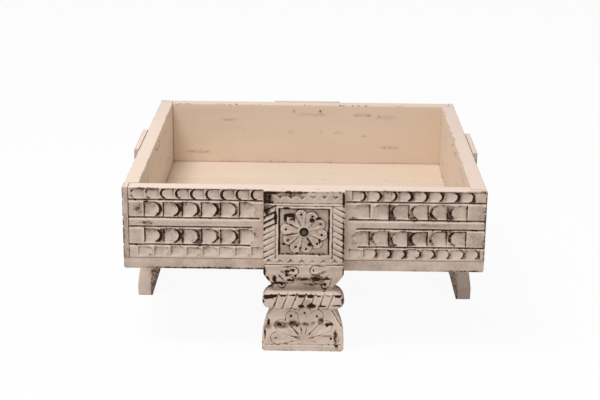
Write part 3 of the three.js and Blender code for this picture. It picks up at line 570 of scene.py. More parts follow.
def stations(start, end, pitch, fine=(), reach=0, fine_pitch=1):
    """Places from start to end at a pitch, with closer ones within reach of the fine places."""
    places = list(np.linspace(start, end, int(round((end - start) / pitch)) + 1))
    for middle in fine:
        places = [place for place in places if abs(place - middle) > reach]
        places += list(np.linspace(middle - reach, middle + reach, int(round(2 * reach / fine_pitch)) + 1))
    inside = sorted(place for place in places if start <= place <= end)
    return np.array([a for a, b in zip(inside, inside[1:] + [end + 1]) if b - a > CLOSE / 2])


def swept(places, section):
    """A ring with the section's shape at each place along a board."""
    rings = np.empty((len(places), len(section), 3))
    rings[:, :, 0] = places[:, None]
    rings[:, :, 1:] = section[:, :2]
    return rings


def skinned(name, rings):
    """A closed skin over rings that have the same number of points, with a face over each end."""
    count, points = rings.shape[:2]
    lattice = np.arange(count * points).reshape(count, points)
    this, following = lattice[:-1], lattice[1:]
    quads = np.stack([this, np.roll(this, -1, 1), np.roll(following, -1, 1), following], -1).reshape(-1, 4)
    faces = quads.tolist() + [lattice[0][::-1].tolist(), lattice[-1].tolist()]
    mesh = bpy.data.meshes.new(name)
    mesh.from_pydata((rings.reshape(-1, 3) * MM).tolist(), [], faces)
    mesh.update()
    middle = sum((v.co for v in mesh.vertices), Vector()) / len(mesh.vertices)
    last = mesh.polygons[len(quads) + 1]
    if (last.center - middle).dot(last.normal) < 0:
        mesh.flip_normals()
    mesh.shade_smooth()
    mesh.set_sharp_from_angle(angle=SHARP_ANGLE)
    return mesh


def note(mesh, name, numbers, kind="FLOAT", entry="value"):
    """Gives each point of a mesh its own number, or its own vector."""
    values = np.asarray(numbers, np.float32).ravel()
    mesh.attributes.new(name, kind, "POINT").data.foreach_set(entry, values)


def note_marks(mesh, **marks):
    """Notes how strong each mark is at each point, and nought for the marks that aren't given."""
    none = np.zeros(len(mesh.vertices))
    for name in ("face", "edge", "tone", "ink", "soil", "rub", "scoop", "cut", "lip"):
        note(mesh, name, marks.get(name, none))


def point_places(mesh):
    places = np.empty(len(mesh.vertices) * 3, np.float32)
    mesh.vertices.foreach_get("co", places)
    return places.reshape(-1, 3)


def bell(off, width):
    """One where off is nought, and fading away on both sides."""
    return np.exp(-((off / width) ** 2))


def stain(mesh, patches, variety):
    """Patches of old dirt (ink) and brown soil on the face. Variety moves, turns over or leaves out some."""
    chooser = random.Random(variety)
    x, _, z = point_places(mesh).T / MM
    marks = {name: np.empty(len(x), np.float32) for name in ("face", "ink", "soil")}
    for name, values in marks.items():
        mesh.attributes[name].data.foreach_get("value", values)
    for across, up, half_wide, half_high, ink, soil in patches:
        if variety:
            across = across * chooser.choice((-1, 1)) + chooser.uniform(-STAIN_WANDER, STAIN_WANDER)
            up += chooser.uniform(-1, 1) * min(STAIN_LIFT, half_high)
        if variety and chooser.random() < STAINS_LEFT_OUT:
            continue
        off = np.hypot((x - across) / half_wide, (z - up) / half_high)
        patch = np.exp(-(off**3)) * marks["face"]
        marks["ink"] = np.maximum(marks["ink"], ink * patch)
        marks["soil"] = np.maximum(marks["soil"], soil * patch)
    for name in ("ink", "soil"):
        mesh.attributes[name].data.foreach_set("value", marks[name])


def note_board(mesh, shift):
    """Each point's place on its own board, so that the grain of no two boards agrees."""
    note(mesh, "board", point_places(mesh) + np.float32(shift), "FLOAT_VECTOR", "vector")


def wall_mesh():
    outer, inner = -TRAY_HALF, -TRAY_HALF + WALL_THICK
    groove_levels = [RIM - share * WALL_HEIGHT for share, _ in GROOVES]
    fine = (groove_levels, GROOVE_REACH, GROOVE_PITCH)
    face = stations(WALL_FOOT + FOOT_EASE, RIM - RIM_EASE, CARVED_PITCH, *fine)
    section = [(outer, z, 1) for z in face]
    angles = radians(90 / RIM_STEPS) * np.arange(1, RIM_STEPS)
    corners = ((outer + RIM_EASE, -1), (inner - RIM_EASE, 1))
    front_arc, back_arc = (
        [(corner + way * RIM_EASE * cos(a), RIM - RIM_EASE + RIM_EASE * sin(a), 0) for a in angles]
        for corner, way in corners
    )
    flat = np.linspace(outer + RIM_MARGIN, inner - RIM_MARGIN, RIM_ROWS)
    flat = [outer + RIM_EASE, *flat, inner - RIM_EASE]
    section += front_arc + [(y, RIM, 0) for y in flat] + back_arc[::-1]
    section += [(inner, z, 0) for z in np.linspace(RIM - RIM_EASE, WALL_FOOT + INNER_FOOT_EASE, INNER_ROWS)]
    section += [(y, WALL_FOOT, 0) for y in (inner, outer + FOOT_MIDDLE, outer + FOOT_EASE)]
    section = np.array(section)

    stops = []
    for _, half, round_end, start, pitch, count, *_ in CUT_ROWS:
        first = 0 if round_end > 0 else 1
        stops += [half * (start + (first + i) * pitch) for i in range(count)]
    left = stations(SQUARE_END, -LEG_HALF + 1, ALONG_PITCH)
    hidden = stations(-LEG_HALF + 1, LEG_HALF - 1, PLAIN_PITCH)
    right = stations(LEG_HALF - 1, TRAY_HALF, ALONG_PITCH)
    places = np.unique(np.concatenate([left, hidden, right]))
    for stop in stops + [REBATE_START]:
        places = places[abs(places - stop) > STOP_ROOM]
        places = np.append(places, [stop - CLOSE, stop + CLOSE])
    places = np.sort(places)

    rings = swept(places, section)
    lipped = places > REBATE_START
    rings[lipped, :, 1] = outer + (section[:, 0] - outer) * LIP_THICK / WALL_THICK
    ends = rings[[0, -1]]
    middle = (ends.min(1, keepdims=True) + ends.max(1, keepdims=True)) / 2
    room = ends.max(1, keepdims=True) - middle
    shares = 1 - np.array(END_MARGINS) / room[:, :, 1:]
    ends[:, :, 1:] = middle[:, :, 1:] + (ends - middle)[:, :, 1:] * shares
    rings = np.concatenate([ends[:1], rings, ends[1:]])
    mesh = skinned("wall", rings)
    x, y, z = np.moveaxis(rings, 2, 0)
    on_face = np.broadcast_to(section[:, 2], x.shape).copy()
    on_face[[0, -1]] = 0
    rim_front = np.hypot(y - outer, z - RIM)
    rim_back = np.hypot(y - inner, z - RIM)
    end = np.minimum(x - SQUARE_END, TRAY_HALF - x)
    nearest = np.minimum(np.minimum(rim_front * 1.15, rim_back), np.where(y < outer + 1, end, FAR_FROM_EDGE))
    fading = np.where(TRAY_HALF - x < END_REACH, END_WEAR, EDGE_WEAR)
    edge = np.exp(-nearest / fading) * np.where(end < END_REACH, 1.25, 1)
    edge[[0, -1]] = 0
    inner_face = y > inner - 0.5
    over_tray = (z > RIM - 0.4) | (abs(x) < TRAY_HALF - WALL_THICK + 2)
    indoors = (y > outer + 0.5) & (x > SQUARE_END + 1) & over_tray
    tone = np.where(indoors, np.where(inner_face, 1, 0.5), 0)
    ink = 0.75 * on_face * bell(z - RIM + 1.9, 0.8)
    outer_ends = np.where((x > TRAY_HALF - 0.5) | (x < SQUARE_END + 0.5), 0.35, 0)
    soil = np.maximum(outer_ends, inner_soil(x, z, inner_face))
    note_marks(mesh, face=on_face, edge=edge, tone=tone, ink=ink, soil=soil)
    return mesh


# Smudges on the walls' inner faces: across, up, half width, half height
INNER_SMUDGES = (
    (-8, 199, 24, 2.6),
    (-78, 197, 9, 3.4),
    (-92, 198, 8, 1.6),
    (-118, 195, 20, 2.8),
    (62, 167, 22, 1.8),
    (24, 168, 6, 2),
    (-22, 168, 3, 2.4),
    (-50, 168, 10, 2),
    (-88, 166, 5, 1.6),
    (-128, 147, 18, 4),
    (166, 137, 20, 4),
    (120, 188, 12, 1.6),
)


def inner_soil(x, z, inside):
    """Painted shade in the angle at the walls' feet, and smudges left by years of use."""
    soil = 0.85 * bell(z - WALL_FOOT - 0.6, 1.2)
    for across, up, half_wide, half_high in INNER_SMUDGES:
        patch = np.exp(-(((x - across) / half_wide) ** 4) - ((z - up) / half_high) ** 4)
        soil = np.maximum(soil, 0.95 * patch)
    return soil * inside


# Stains on the walls: across, up, half width, half height, how much is black dirt, and how much brown soil
WALL_STAINS = (
    (-205, 186, 6, 8, 0.35, 0.5),
    (-196, 167.5, 13, 2.4, 0.35, 0.55),
    (-120, 168, 30, 2, 0.1, 0.4),
    (150, 168, 26, 2.4, 0.1, 0.45),
    (152, 152, 34, 8, 0, 0.6),
    (110, 186, 30, 7, 0, 0.4),
    (205, 146, 12, 18, 0, 0.5),
    (60, 176, 6, 3, 0.6, 0.3),
)

wall_blank = wall_mesh()
for quarter, side in enumerate(SIDES):
    wall = in_scene(f"{side}_wall_board", wall_blank.copy())
    note_board(wall.data, WALL_GRAIN * (quarter + 1))
    stain(wall.data, WALL_STAINS, quarter)
    for number, row in enumerate(CUT_ROWS):
        share, half, round_end, start, pitch, count, cut, clean, dirty, rub, ink = row
        add_tree(
            wall, GOUGE_ROW, **mm(start=start, pitch=pitch, level=RIM - share * WALL_HEIGHT),
            **mm(height=cut["Height"], gap=cut["Gap"], depth=cut["Depth"]),
            bend=cut["Bend"], stop=cut["Stop"], side=half, count=count, round_end=round_end,
            clean=clean, dirty=dirty, rub=rub, ink=ink, seed=100 * quarter + 10 * number,
        )
    for number, (share, end) in enumerate(GROOVES):
        for half in (-1, 1):
            add_tree(
                wall, STROKE_ROW, **mm(first_x=half * end, first_z=RIM - share * WALL_HEIGHT),
                **mm(run_x=half * TRAY_HALF, width=GROOVE_WIDTH, depth=GROOVE_DEPTH), count=1, ink=1.3, lip=1,
                seed=100 * quarter + 50 + 2 * number + half,
            )
    add_tree(wall, CARVE, roughness=WALL_ROUGHNESS)
    baked(wall, quarter * pi / 2)
    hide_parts(f"{side}_wall")
    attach(wall, "root")

# Three planks of the base, laid side by side from left to right, nailed up into the walls. Their outer
# lower edges are rounded over and have lost their paint to knocks; the joints show as faint lines on the
# tray's floor.
BASE_FOOT = 106
DECK = 121
BASE_ROUND = 4
JOINT_GAP = 0.15
JOINT_EASE = 0.6
PLANK_ROUGHNESS = 0.2 * MM
ROUND_STEPS = 6
EDGE_ROWS = 12
UNDERSIDE_PITCH = 5
DECK_PITCH = 3
JOINT_FINE = (2, 0.7)
PLANK_PITCH = 2.2
PLANK_END = 5
PLANK_END_PITCH = 0.55
KNOCK_WEAR = 2.4
JOINT_WEAR = 0.8
SKIN = 0.3
PLANK_GRAIN = (5.1, 0.77)
PLANK_EDGES = (-TRAY_HALF, -52.5, 120, TRAY_HALF)
PLANK_NAMES = ("front_plank", "middle_plank", "back_plank")


def plank_mesh(front, back):
    """A plank whose lower edge is rounded where it is on the outside of the tray."""
    rounds = (front == -TRAY_HALF, back == TRAY_HALF)
    low = [BASE_ROUND if rounded else JOINT_EASE for rounded in rounds]
    arc = radians(90 / ROUND_STEPS) * np.arange(ROUND_STEPS + 1)
    section = [(front, z) for z in np.linspace(DECK - JOINT_EASE, BASE_FOOT + low[0], EDGE_ROWS)]
    section += [(front + low[0] * (1 - cos(a)), BASE_FOOT + low[0] * (1 - sin(a))) for a in arc[1:]]
    underside = stations(front + low[0] + 1, back - low[1] - 1, UNDERSIDE_PITCH)
    section += [(y, BASE_FOOT) for y in underside]
    section += [(back - low[1] * (1 - sin(a)), BASE_FOOT + low[1] * (1 - cos(a))) for a in arc[:-1]]
    section += [(back, z) for z in np.linspace(BASE_FOOT + low[1], DECK - JOINT_EASE, EDGE_ROWS)]
    fine = ((front + 1.5, back - 1.5), *JOINT_FINE)
    deck = stations(front + JOINT_EASE, back - JOINT_EASE, DECK_PITCH, *fine)
    section += [(y, DECK) for y in deck[::-1]]
    section = np.array(section)
    fine = ((-TRAY_HALF + PLANK_END, TRAY_HALF - PLANK_END), PLANK_END, PLANK_END_PITCH)
    places = stations(-TRAY_HALF, TRAY_HALF, PLANK_PITCH, *fine)
    rings = swept(places, section)
    inset = np.clip(BASE_ROUND - (TRAY_HALF - abs(places)), 0, BASE_ROUND)
    lifted = BASE_FOOT + BASE_ROUND - np.sqrt(BASE_ROUND**2 - inset**2)
    rings[:, :, 2] = np.maximum(section[:, 1], lifted[:, None])
    mesh = skinned("plank", rings)
    x, y, z = np.moveaxis(rings, 2, 0)
    outward = np.minimum(TRAY_HALF - abs(x), TRAY_HALF - abs(y))
    knocked = np.hypot(outward, z - BASE_FOOT - 1)
    front_joint = FAR_FROM_EDGE if rounds[0] else y - front
    back_joint = FAR_FROM_EDGE if rounds[1] else back - y
    joint = np.minimum(front_joint, back_joint)
    uneven = 1 - 0.45 * np.sin(x / 62 + 0.4)
    edge = np.maximum(uneven * np.exp(-knocked / KNOCK_WEAR), 0.55 * np.exp(-joint / JOINT_WEAR))
    on_deck = z > DECK - SKIN
    tone = np.where(on_deck & (outward > WALL_THICK - 1), 1, 0)
    # Painted shade in the angle where the deck meets the walls.
    angle_shade = 0.85 * bell(outward - WALL_THICK - 1, 1.6) * on_deck
    soil = np.where(z < BASE_FOOT + 1, 0.35, angle_shade)
    rub = np.where(z < BASE_FOOT + 0.4, 0.75, 0)
    knocks = np.clip((uneven - 0.8) / 0.6, 0, 1) * (outward < 1) * bell(z - BASE_FOOT - 2.2, 1.3)
    note_marks(mesh, edge=edge, tone=tone, soil=soil, rub=rub, ink=knocks * 1.1)
    return mesh


for number, name in enumerate(PLANK_NAMES):
    front, back = PLANK_EDGES[number], PLANK_EDGES[number + 1]
    front += JOINT_GAP if number > 0 else 0
    back -= JOINT_GAP if number < 2 else 0
    plank = in_scene(f"{name}_board", plank_mesh(front, back))
    note_board(plank.data, PLANK_GRAIN[0] + PLANK_GRAIN[1] * number)
    add_tree(plank, CARVE, roughness=PLANK_ROUGHNESS)
    baked(plank, 0)
    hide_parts(name)
    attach(plank, "root")

# Four legs, each sawn and carved from one thick plank: a panel with a rosette in a square recess, rope
# bands and chip rows round it, a bowl with a quarter flower in each corner, a roped roll, and a foot with
# half a flower. A tongue laps the wall, and the shoulder behind it carries the base.
LEG_FRONT = -232
LEG_BACK = -198
TONGUE_BACK = -225.3
SHOULDER = 105.7
ROLL_TOP = 80
FOOT_TOP = 56
NECK_HALF = 37
NECK_SETBACK = 12
NECK_TOP = 82.06
BOWL_BEND = 103
BOWL_ROUND_END = 94.39
BOWL_ROUND_HALF = 45.24
BOWL_ROUND_SETBACK = 4.68
ROLL_MIDDLE = (ROLL_TOP + FOOT_TOP) / 2
ROLL_RADIUS = (ROLL_TOP - FOOT_TOP) / 2
ROLL_REACH = 39.75
ROLL_CHAMFER = 3.5
FOOT_HALF = 51.75
FOOT_TOP_HALF = 38.3
FOOT_SETBACK = 5
FOOT_BELLY = 16.8
FOOT_BULGE = (51.23, 38.08)
TOE_EASE = 2.5
TOE_TOP = 10.08
TOE_BACK = -212
HEEL = 43.68
FLANK_BACK = -214
EDGE_EASE = 0.9
BACK_INSET_SHARE = 0.08
FACE_PITCH = 0.58
LEG_ROUGHNESS = 0.25 * MM
LEG_WEAR = 1.2
LEG_GRAIN = (9.3, 0.71)
ROSETTE_REACH = 32
LEDGE_CLOSE = 0.02
MIDDLE_COLUMN = 0.15
BACK_CHAMFER = 0.5
SIDE_ROWS = 16
INNER_SIDE = 16
TOP_EASE = 0.9
TOP_INSETS = (0.25, 0.9, 1.8, 2.8)
LEDGE_ROOM = 0.25
PANEL_HEIGHT = RIM - SHOULDER
ROSETTE_LEVEL = RIM - 0.4965 * PANEL_HEIGHT


def bent(start, bend, end, steps=16):
    """Points along a curve from start to end that leaves and arrives towards the bend."""
    share = np.linspace(0, 1, steps)[:, None]
    start, bend, end = (np.array(point, float) for point in (start, bend, end))
    return (1 - share) ** 2 * start + 2 * share * (1 - share) * bend + share**2 * end


bowl_side = bent((LEG_HALF, SHOULDER), (LEG_HALF, BOWL_BEND), (BOWL_ROUND_HALF, BOWL_ROUND_END))
bowl_front = bent((0, SHOULDER), (0, BOWL_BEND), (BOWL_ROUND_SETBACK, BOWL_ROUND_END))
foot_side = bent((FOOT_TOP_HALF, FOOT_TOP), FOOT_BULGE, (FOOT_HALF, FOOT_BELLY))


def leg_half_width(z):
    if z > SHOULDER:
        return LEG_HALF
    if z > ROLL_TOP:
        line = np.vstack([bowl_side, (NECK_HALF, NECK_TOP), (NECK_HALF, ROLL_TOP)])
        return np.interp(z, line[::-1, 1], line[::-1, 0])
    if z > FOOT_TOP:
        return ROLL_REACH + np.sqrt(max(0, ROLL_RADIUS**2 - (z - ROLL_MIDDLE) ** 2))
    toe = max(0, TOE_EASE - z)
    return np.interp(z, foot_side[::-1, 1], foot_side[::-1, 0]) - toe


def leg_depths(z):
    """Where the leg's front and back lie at a height."""
    if z > SHOULDER:
        return LEG_FRONT, TONGUE_BACK
    if z > ROLL_TOP:
        line = np.vstack([bowl_front, (NECK_SETBACK, NECK_TOP), (NECK_SETBACK, ROLL_TOP)])
        return LEG_FRONT + np.interp(z, line[::-1, 1], line[::-1, 0]), LEG_BACK
    if z > FOOT_TOP:
        setback = max(0, abs(z - ROLL_MIDDLE) - ROLL_RADIUS + ROLL_CHAMFER)
        return LEG_FRONT + setback, LEG_BACK - setback
    setback = np.interp(z, (FOOT_BELLY, FOOT_TOP), (0, FOOT_SETBACK))
    return LEG_FRONT + setback, np.interp(z, (TOE_TOP, HEEL), (TOE_BACK, LEG_BACK))


def leg_ring(z, columns):
    """One level of the leg: across, back, and how far the point is on the carved face. The back corners
    are cut off at 45 degrees below the shoulder."""
    half = leg_half_width(z)
    front, back = leg_depths(z)
    on_roll = FOOT_TOP < z < ROLL_TOP
    ease = min(ROLL_CHAMFER, half - ROLL_REACH + EDGE_EASE) if on_roll else EDGE_EASE
    chamfer = BACK_CHAMFER
    if z < SHOULDER:
        chamfer = max(BACK_CHAMFER, back - FLANK_BACK - FOOT_HALF + half)
    right = [((half - ease) * share, front, 1) for share in columns]
    turns = radians(30) * np.arange(1, 3)
    right += [(half - ease * (1 - sin(turn)), front + ease * (1 - cos(turn)), 0.5) for turn in turns]
    right += [(half, y, 0) for y in np.linspace(front + ease, back - chamfer, SIDE_ROWS)]
    right += [(half - chamfer * share, back - chamfer * (1 - share), 0) for share in (0.25, 0.5, 0.75, 1)]
    right += [(x, back, 0) for x in np.linspace(half - chamfer - 1.2, 0.8, SIDE_ROWS)]
    right = np.array(right)
    left = right[::-1] * (-1, 1, 1)
    return np.vstack([right, left])


def leg_mesh():
    levels = stations(0, RIM - TOP_EASE, CARVED_PITCH, (ROSETTE_LEVEL,), ROSETTE_REACH, FACE_PITCH)
    for ledge in (SHOULDER, ROLL_TOP, FOOT_TOP):
        levels = levels[abs(levels - ledge) > LEDGE_ROOM]
        levels = np.append(levels, [ledge - LEDGE_CLOSE, ledge + LEDGE_CLOSE])
    levels = np.sort(levels)
    columns = np.linspace(0, 1, int(LEG_HALF / FACE_PITCH))
    columns[0] = MIDDLE_COLUMN / LEG_HALF
    rings = [leg_ring(z, columns) for z in levels]
    heights = list(levels)
    top = rings[-1]
    for inset in TOP_INSETS:
        ring = top.copy()
        ring[:, 0] *= 1 - inset / LEG_HALF
        ring[:, 1] = TONGUE_BACK + (ring[:, 1] - TONGUE_BACK) * (1 - inset / (TONGUE_BACK - LEG_FRONT))
        ring[:, 1] -= BACK_INSET_SHARE * inset
        ring[:, 2] = 0
        rings.append(ring)
        heights.append(RIM - (TOP_EASE - inset) if inset < TOP_EASE else RIM)
    rings = np.array(rings)
    places = rings.copy()
    places[:, :, 2] = np.array(heights)[:, None]
    mesh = skinned("leg", places)
    x, y, z = np.moveaxis(places, 2, 0)
    face = rings[:, :, 2]
    half = abs(x).max(1, keepdims=True)
    front = y.min(1, keepdims=True)
    upright = np.where(y < front + 0.4, half - abs(x), y - front)
    ledges = [abs(z - level) for level in (RIM, ROLL_TOP - ROLL_CHAMFER, FOOT_TOP, 0)]
    ledges[0] = np.hypot(ledges[0], y - LEG_FRONT)
    nearest = np.minimum(np.minimum.reduce(ledges), np.where(z > RIM - 0.1, 9, upright))
    edge = np.exp(-nearest / LEG_WEAR) * np.where(x < 0, 1.1, 0.85)
    # Painted light: the roll's upper ledge takes the paler rim paint and less staining, as it looks up to the
    # light.
    lit_shelf = (z > ROLL_TOP - ROLL_CHAMFER + 0.6) & (z < ROLL_TOP + SKIN)
    tone = np.where(z > RIM - 0.5, 0.5, np.where(lit_shelf, 0.3, 0))
    inner_side = (y > LEG_BACK - INNER_SIDE) & (z < SHOULDER) & (y > front + NECK_SETBACK)
    rub, soil = np.where(inner_side, 0.7, 0), np.where(inner_side, 0.5, 0)
    ink = face * (0.8 - 0.3 * x / LEG_HALF) * bell(z - RIM + 2.1, 0.9)
    scoop = np.where(z < ROLL_TOP, 0.8, 0)
    note_marks(mesh, face=face, edge=edge, tone=tone, ink=ink, soil=soil, rub=rub, scoop=scoop)
    return mesh


def petals():
    """Petals round a centre, each hollowed, with a scribed outline and a punched dot. With a ground they are
    a raised flower in a sunk field: a scalloped plate round a hub, with gaps cut between the petals."""
    fan = ("Centre X", "Centre Z", "Slant", "First", "Step", "Count", "Root", "Root width", "Reach", "Width")
    cuts = ("Hollow", "Outline", "Dot reach", "Dot", "Plate rim", "Gap depth", "Ground half", "Ground rise")
    more = ("Ground depth", "Top", "Hub", "Hub depth", "Ink", "Seed")
    tree, geometry, size = new_tree("petals", *fan, *cuts, *more)
    seed = size.seed
    x, z = hand_place(tree, seed, 0.5 * MM)
    dx, dz = x - size.centre_x, (z - size.centre_z) * (1 - size.slant)
    radius = (dx * dx + dz * dz).root()
    turn = dz.math("ARCTAN2", dx) - size.first + size.step * 0.5
    turn = turn.math("FLOORED_MODULO", 2 * pi)
    cell = (turn / size.step).floor().least(size.count - 1)
    off = turn - size.step * 0.5 - cell * size.step + chance(cell, seed, 0.03)
    ahead_of = radius * off.math("COSINE")
    aside = abs(radius * off.math("SINE"))
    reach = size.reach * (1 + chance(cell, seed + 1, 0.04))
    share = (ahead_of - size.root) / (reach - size.root)
    grown = (share / 0.7).clamped()
    flat = size.root_width + (size.width - size.root_width) * grown
    tip = (share - 0.7) / 0.3
    tip_off = ((tip * tip + (aside / size.width) ** 2).root() - 1) * size.width
    late = share.above(0.7)
    outside = (aside - flat) * (1 - late) + tip_off * late
    outside = outside.most(size.root - ahead_of)
    hollow = ease(outside, -0.2 * MM, size.width * -0.8) * size.hollow
    hollow = hollow * (0.35 + 0.65 * ease(share, 0.05, 0.6))
    line = (1 - abs(outside + 0.2 * MM) / (0.85 * MM)).most(0)
    line = line * ease(radius, size.root, size.root + 7 * MM)
    beside, above = abs(dx) - size.ground_half, abs(dz) - size.ground_rise
    square = beside.most(above)
    sunk = ease(square, 0.1 * MM, -0.6 * MM)
    off_hub = ease(radius, size.hub, size.hub + 0.7 * MM)
    plate_edge = size.plate_rim * (1 + chance(cell, seed + 6, 0.15))
    clear = ease(outside, plate_edge - 0.3 * MM, plate_edge + 0.5 * MM) * off_hub
    between = ease(outside, 0.1 * MM, 0.8 * MM) * (1 - clear)
    between = between * ease(radius, reach * 0.96, reach * 0.8) * off_hub
    gap = 0.55 + chance(cell, seed + 4, 0.45)
    ground = size.top + (size.ground_depth - size.top) * clear
    ground = sunk * (ground + between * size.gap_depth * gap)
    ground = ground * off_hub + (1 - off_hub) * size.hub_depth
    dot_off = ((ahead_of - size.dot_reach) ** 2 + aside * aside).root()
    dot = (size.dot * (0.8 + chance(cell, seed + 2, 0.3))).clamped()
    dot = ease(dot_off, 1.75 * MM, 1.1 * MM) * dot
    depth = ground + (hollow + line * size.outline) * off_hub
    depth = depth.most(ground + dot * 1.4 * MM)
    uneven = noise(tree, point_place(tree)[0], 60, 2, shift=9) * 1.3
    # Painted shade on the recess walls: darkest on the left wall, then the top and right, faintest on the
    # bottom one.
    side_wall = beside.above(above)
    wall_shade = side_wall * (1.2 - 0.35 * dx.above(0)) + (1 - side_wall) * (0.3 + 0.6 * dz.above(0))
    wall_shade = wall_shade * ease(square, -2.4 * MM, -1.1 * MM) * ease(square, 0.5 * MM, 0) * (0.6 + uneven)
    valley = between * sunk * ease(gap, 0.35, 0.8)
    # Painted shadow: a broken dark line on the ground just outside the plate's rim.
    rim_shadow = (1 - abs(outside - plate_edge - 0.3 * MM) / (0.7 * MM)).most(0) * off_hub * sunk * uneven * 0.8
    ink = (line * size.ink * (0.5 + uneven)).most(dot * 1.5).most(wall_shade).most(valley).most(rim_shadow)
    return leave_marks(tree, geometry, depth, ink, scoop=ease(outside, 0, size.width * -0.5) * 0.6)


def chip_row():
    """A level row of three-cornered chips, each with its deepest point in its middle. Painted shade darkens
    the facets that look down, and the rims of the chips that point up."""
    sizes = ("Level", "Offset", "Pitch", "Count", "Width", "Height", "Taper", "Upwards", "Depth", "Fill")
    tree, geometry, size = new_tree("chip_row", *sizes, "Ink", "Seed")
    seed = size.seed
    x, z = hand_place(tree, seed, 0.4 * MM)
    along = x - size.offset
    outermost = (size.count - 1) * 0.5
    cell = (along / size.pitch + 0.5).floor().most(outermost * -1).least(outermost)
    local = abs(along - cell * size.pitch)
    rise = (z - size.level) * size.upwards + chance(cell, seed, 0.3 * MM)
    height = size.height * (1 + chance(cell, seed + 2, 0.4) * size.fill)
    slant = (size.width * 0.5 * (1 - rise / height * size.taper) - local) * 1.1
    base = rise * 0.6
    inward = base.least(slant).least((height - rise) * 1.1).most(0)
    steep = (inward / (size.height * 0.34)).clamped()
    upwards = size.upwards.above(0)
    looks_down = upwards * slant.below(base) + (1 - upwards) * base.below(slant)
    brim = ease(slant.least(rise), 0.9 * MM, 0.2 * MM)
    dark = 0.75 + chance(cell, seed + 1, 0.3)
    # Painted shade on the facets that look down and on the rims of upward chips; a fill darkens whole chips.
    facet_shade_and_fill = (looks_down * 0.75 + brim * upwards * 0.35).most(size.fill)
    ink = steep.above(0.02) * facet_shade_and_fill * size.ink * dark
    return leave_marks(tree, geometry, size.depth * steep, ink)


PETALS, CHIP_ROW = petals(), chip_row()


def panel_level(share):
    return RIM - share * PANEL_HEIGHT


BAND_INNER = LEG_HALF - 15.2
ROPE_RISE = 8.8
ROPE_STROKES = 9
ROPE_BLACKENED = 4
ROPE_TOP, ROPE_FOOT = panel_level(0.185), panel_level(0.753)
ROPE_STEP = (ROPE_TOP - ROPE_FOOT) / (ROPE_STROKES - 1)
CHIP_LEVELS = (0.055, 0.877)
BAND_FOOT = panel_level(CHIP_LEVELS[1]) + 6
PANEL_LINES = ((0.148, 0.85), (0.182, 0.55), (0.897, 0.85))
ROW_OFFSET = -2.5
ROLL_GROOVES = 7
ROLL_GROOVE_PITCH = 11.5
ROLL_LEAN = 9
ROLL_FACE_TOP = ROLL_TOP - ROLL_CHAMFER
FAN_CENTRE = 15.1
SOLE_LINE = 9
QUARTER_PLACE = (39, SHOULDER + 7.7)
QUARTER_TURN = radians(-8)
QUARTER_STEP = radians(28)

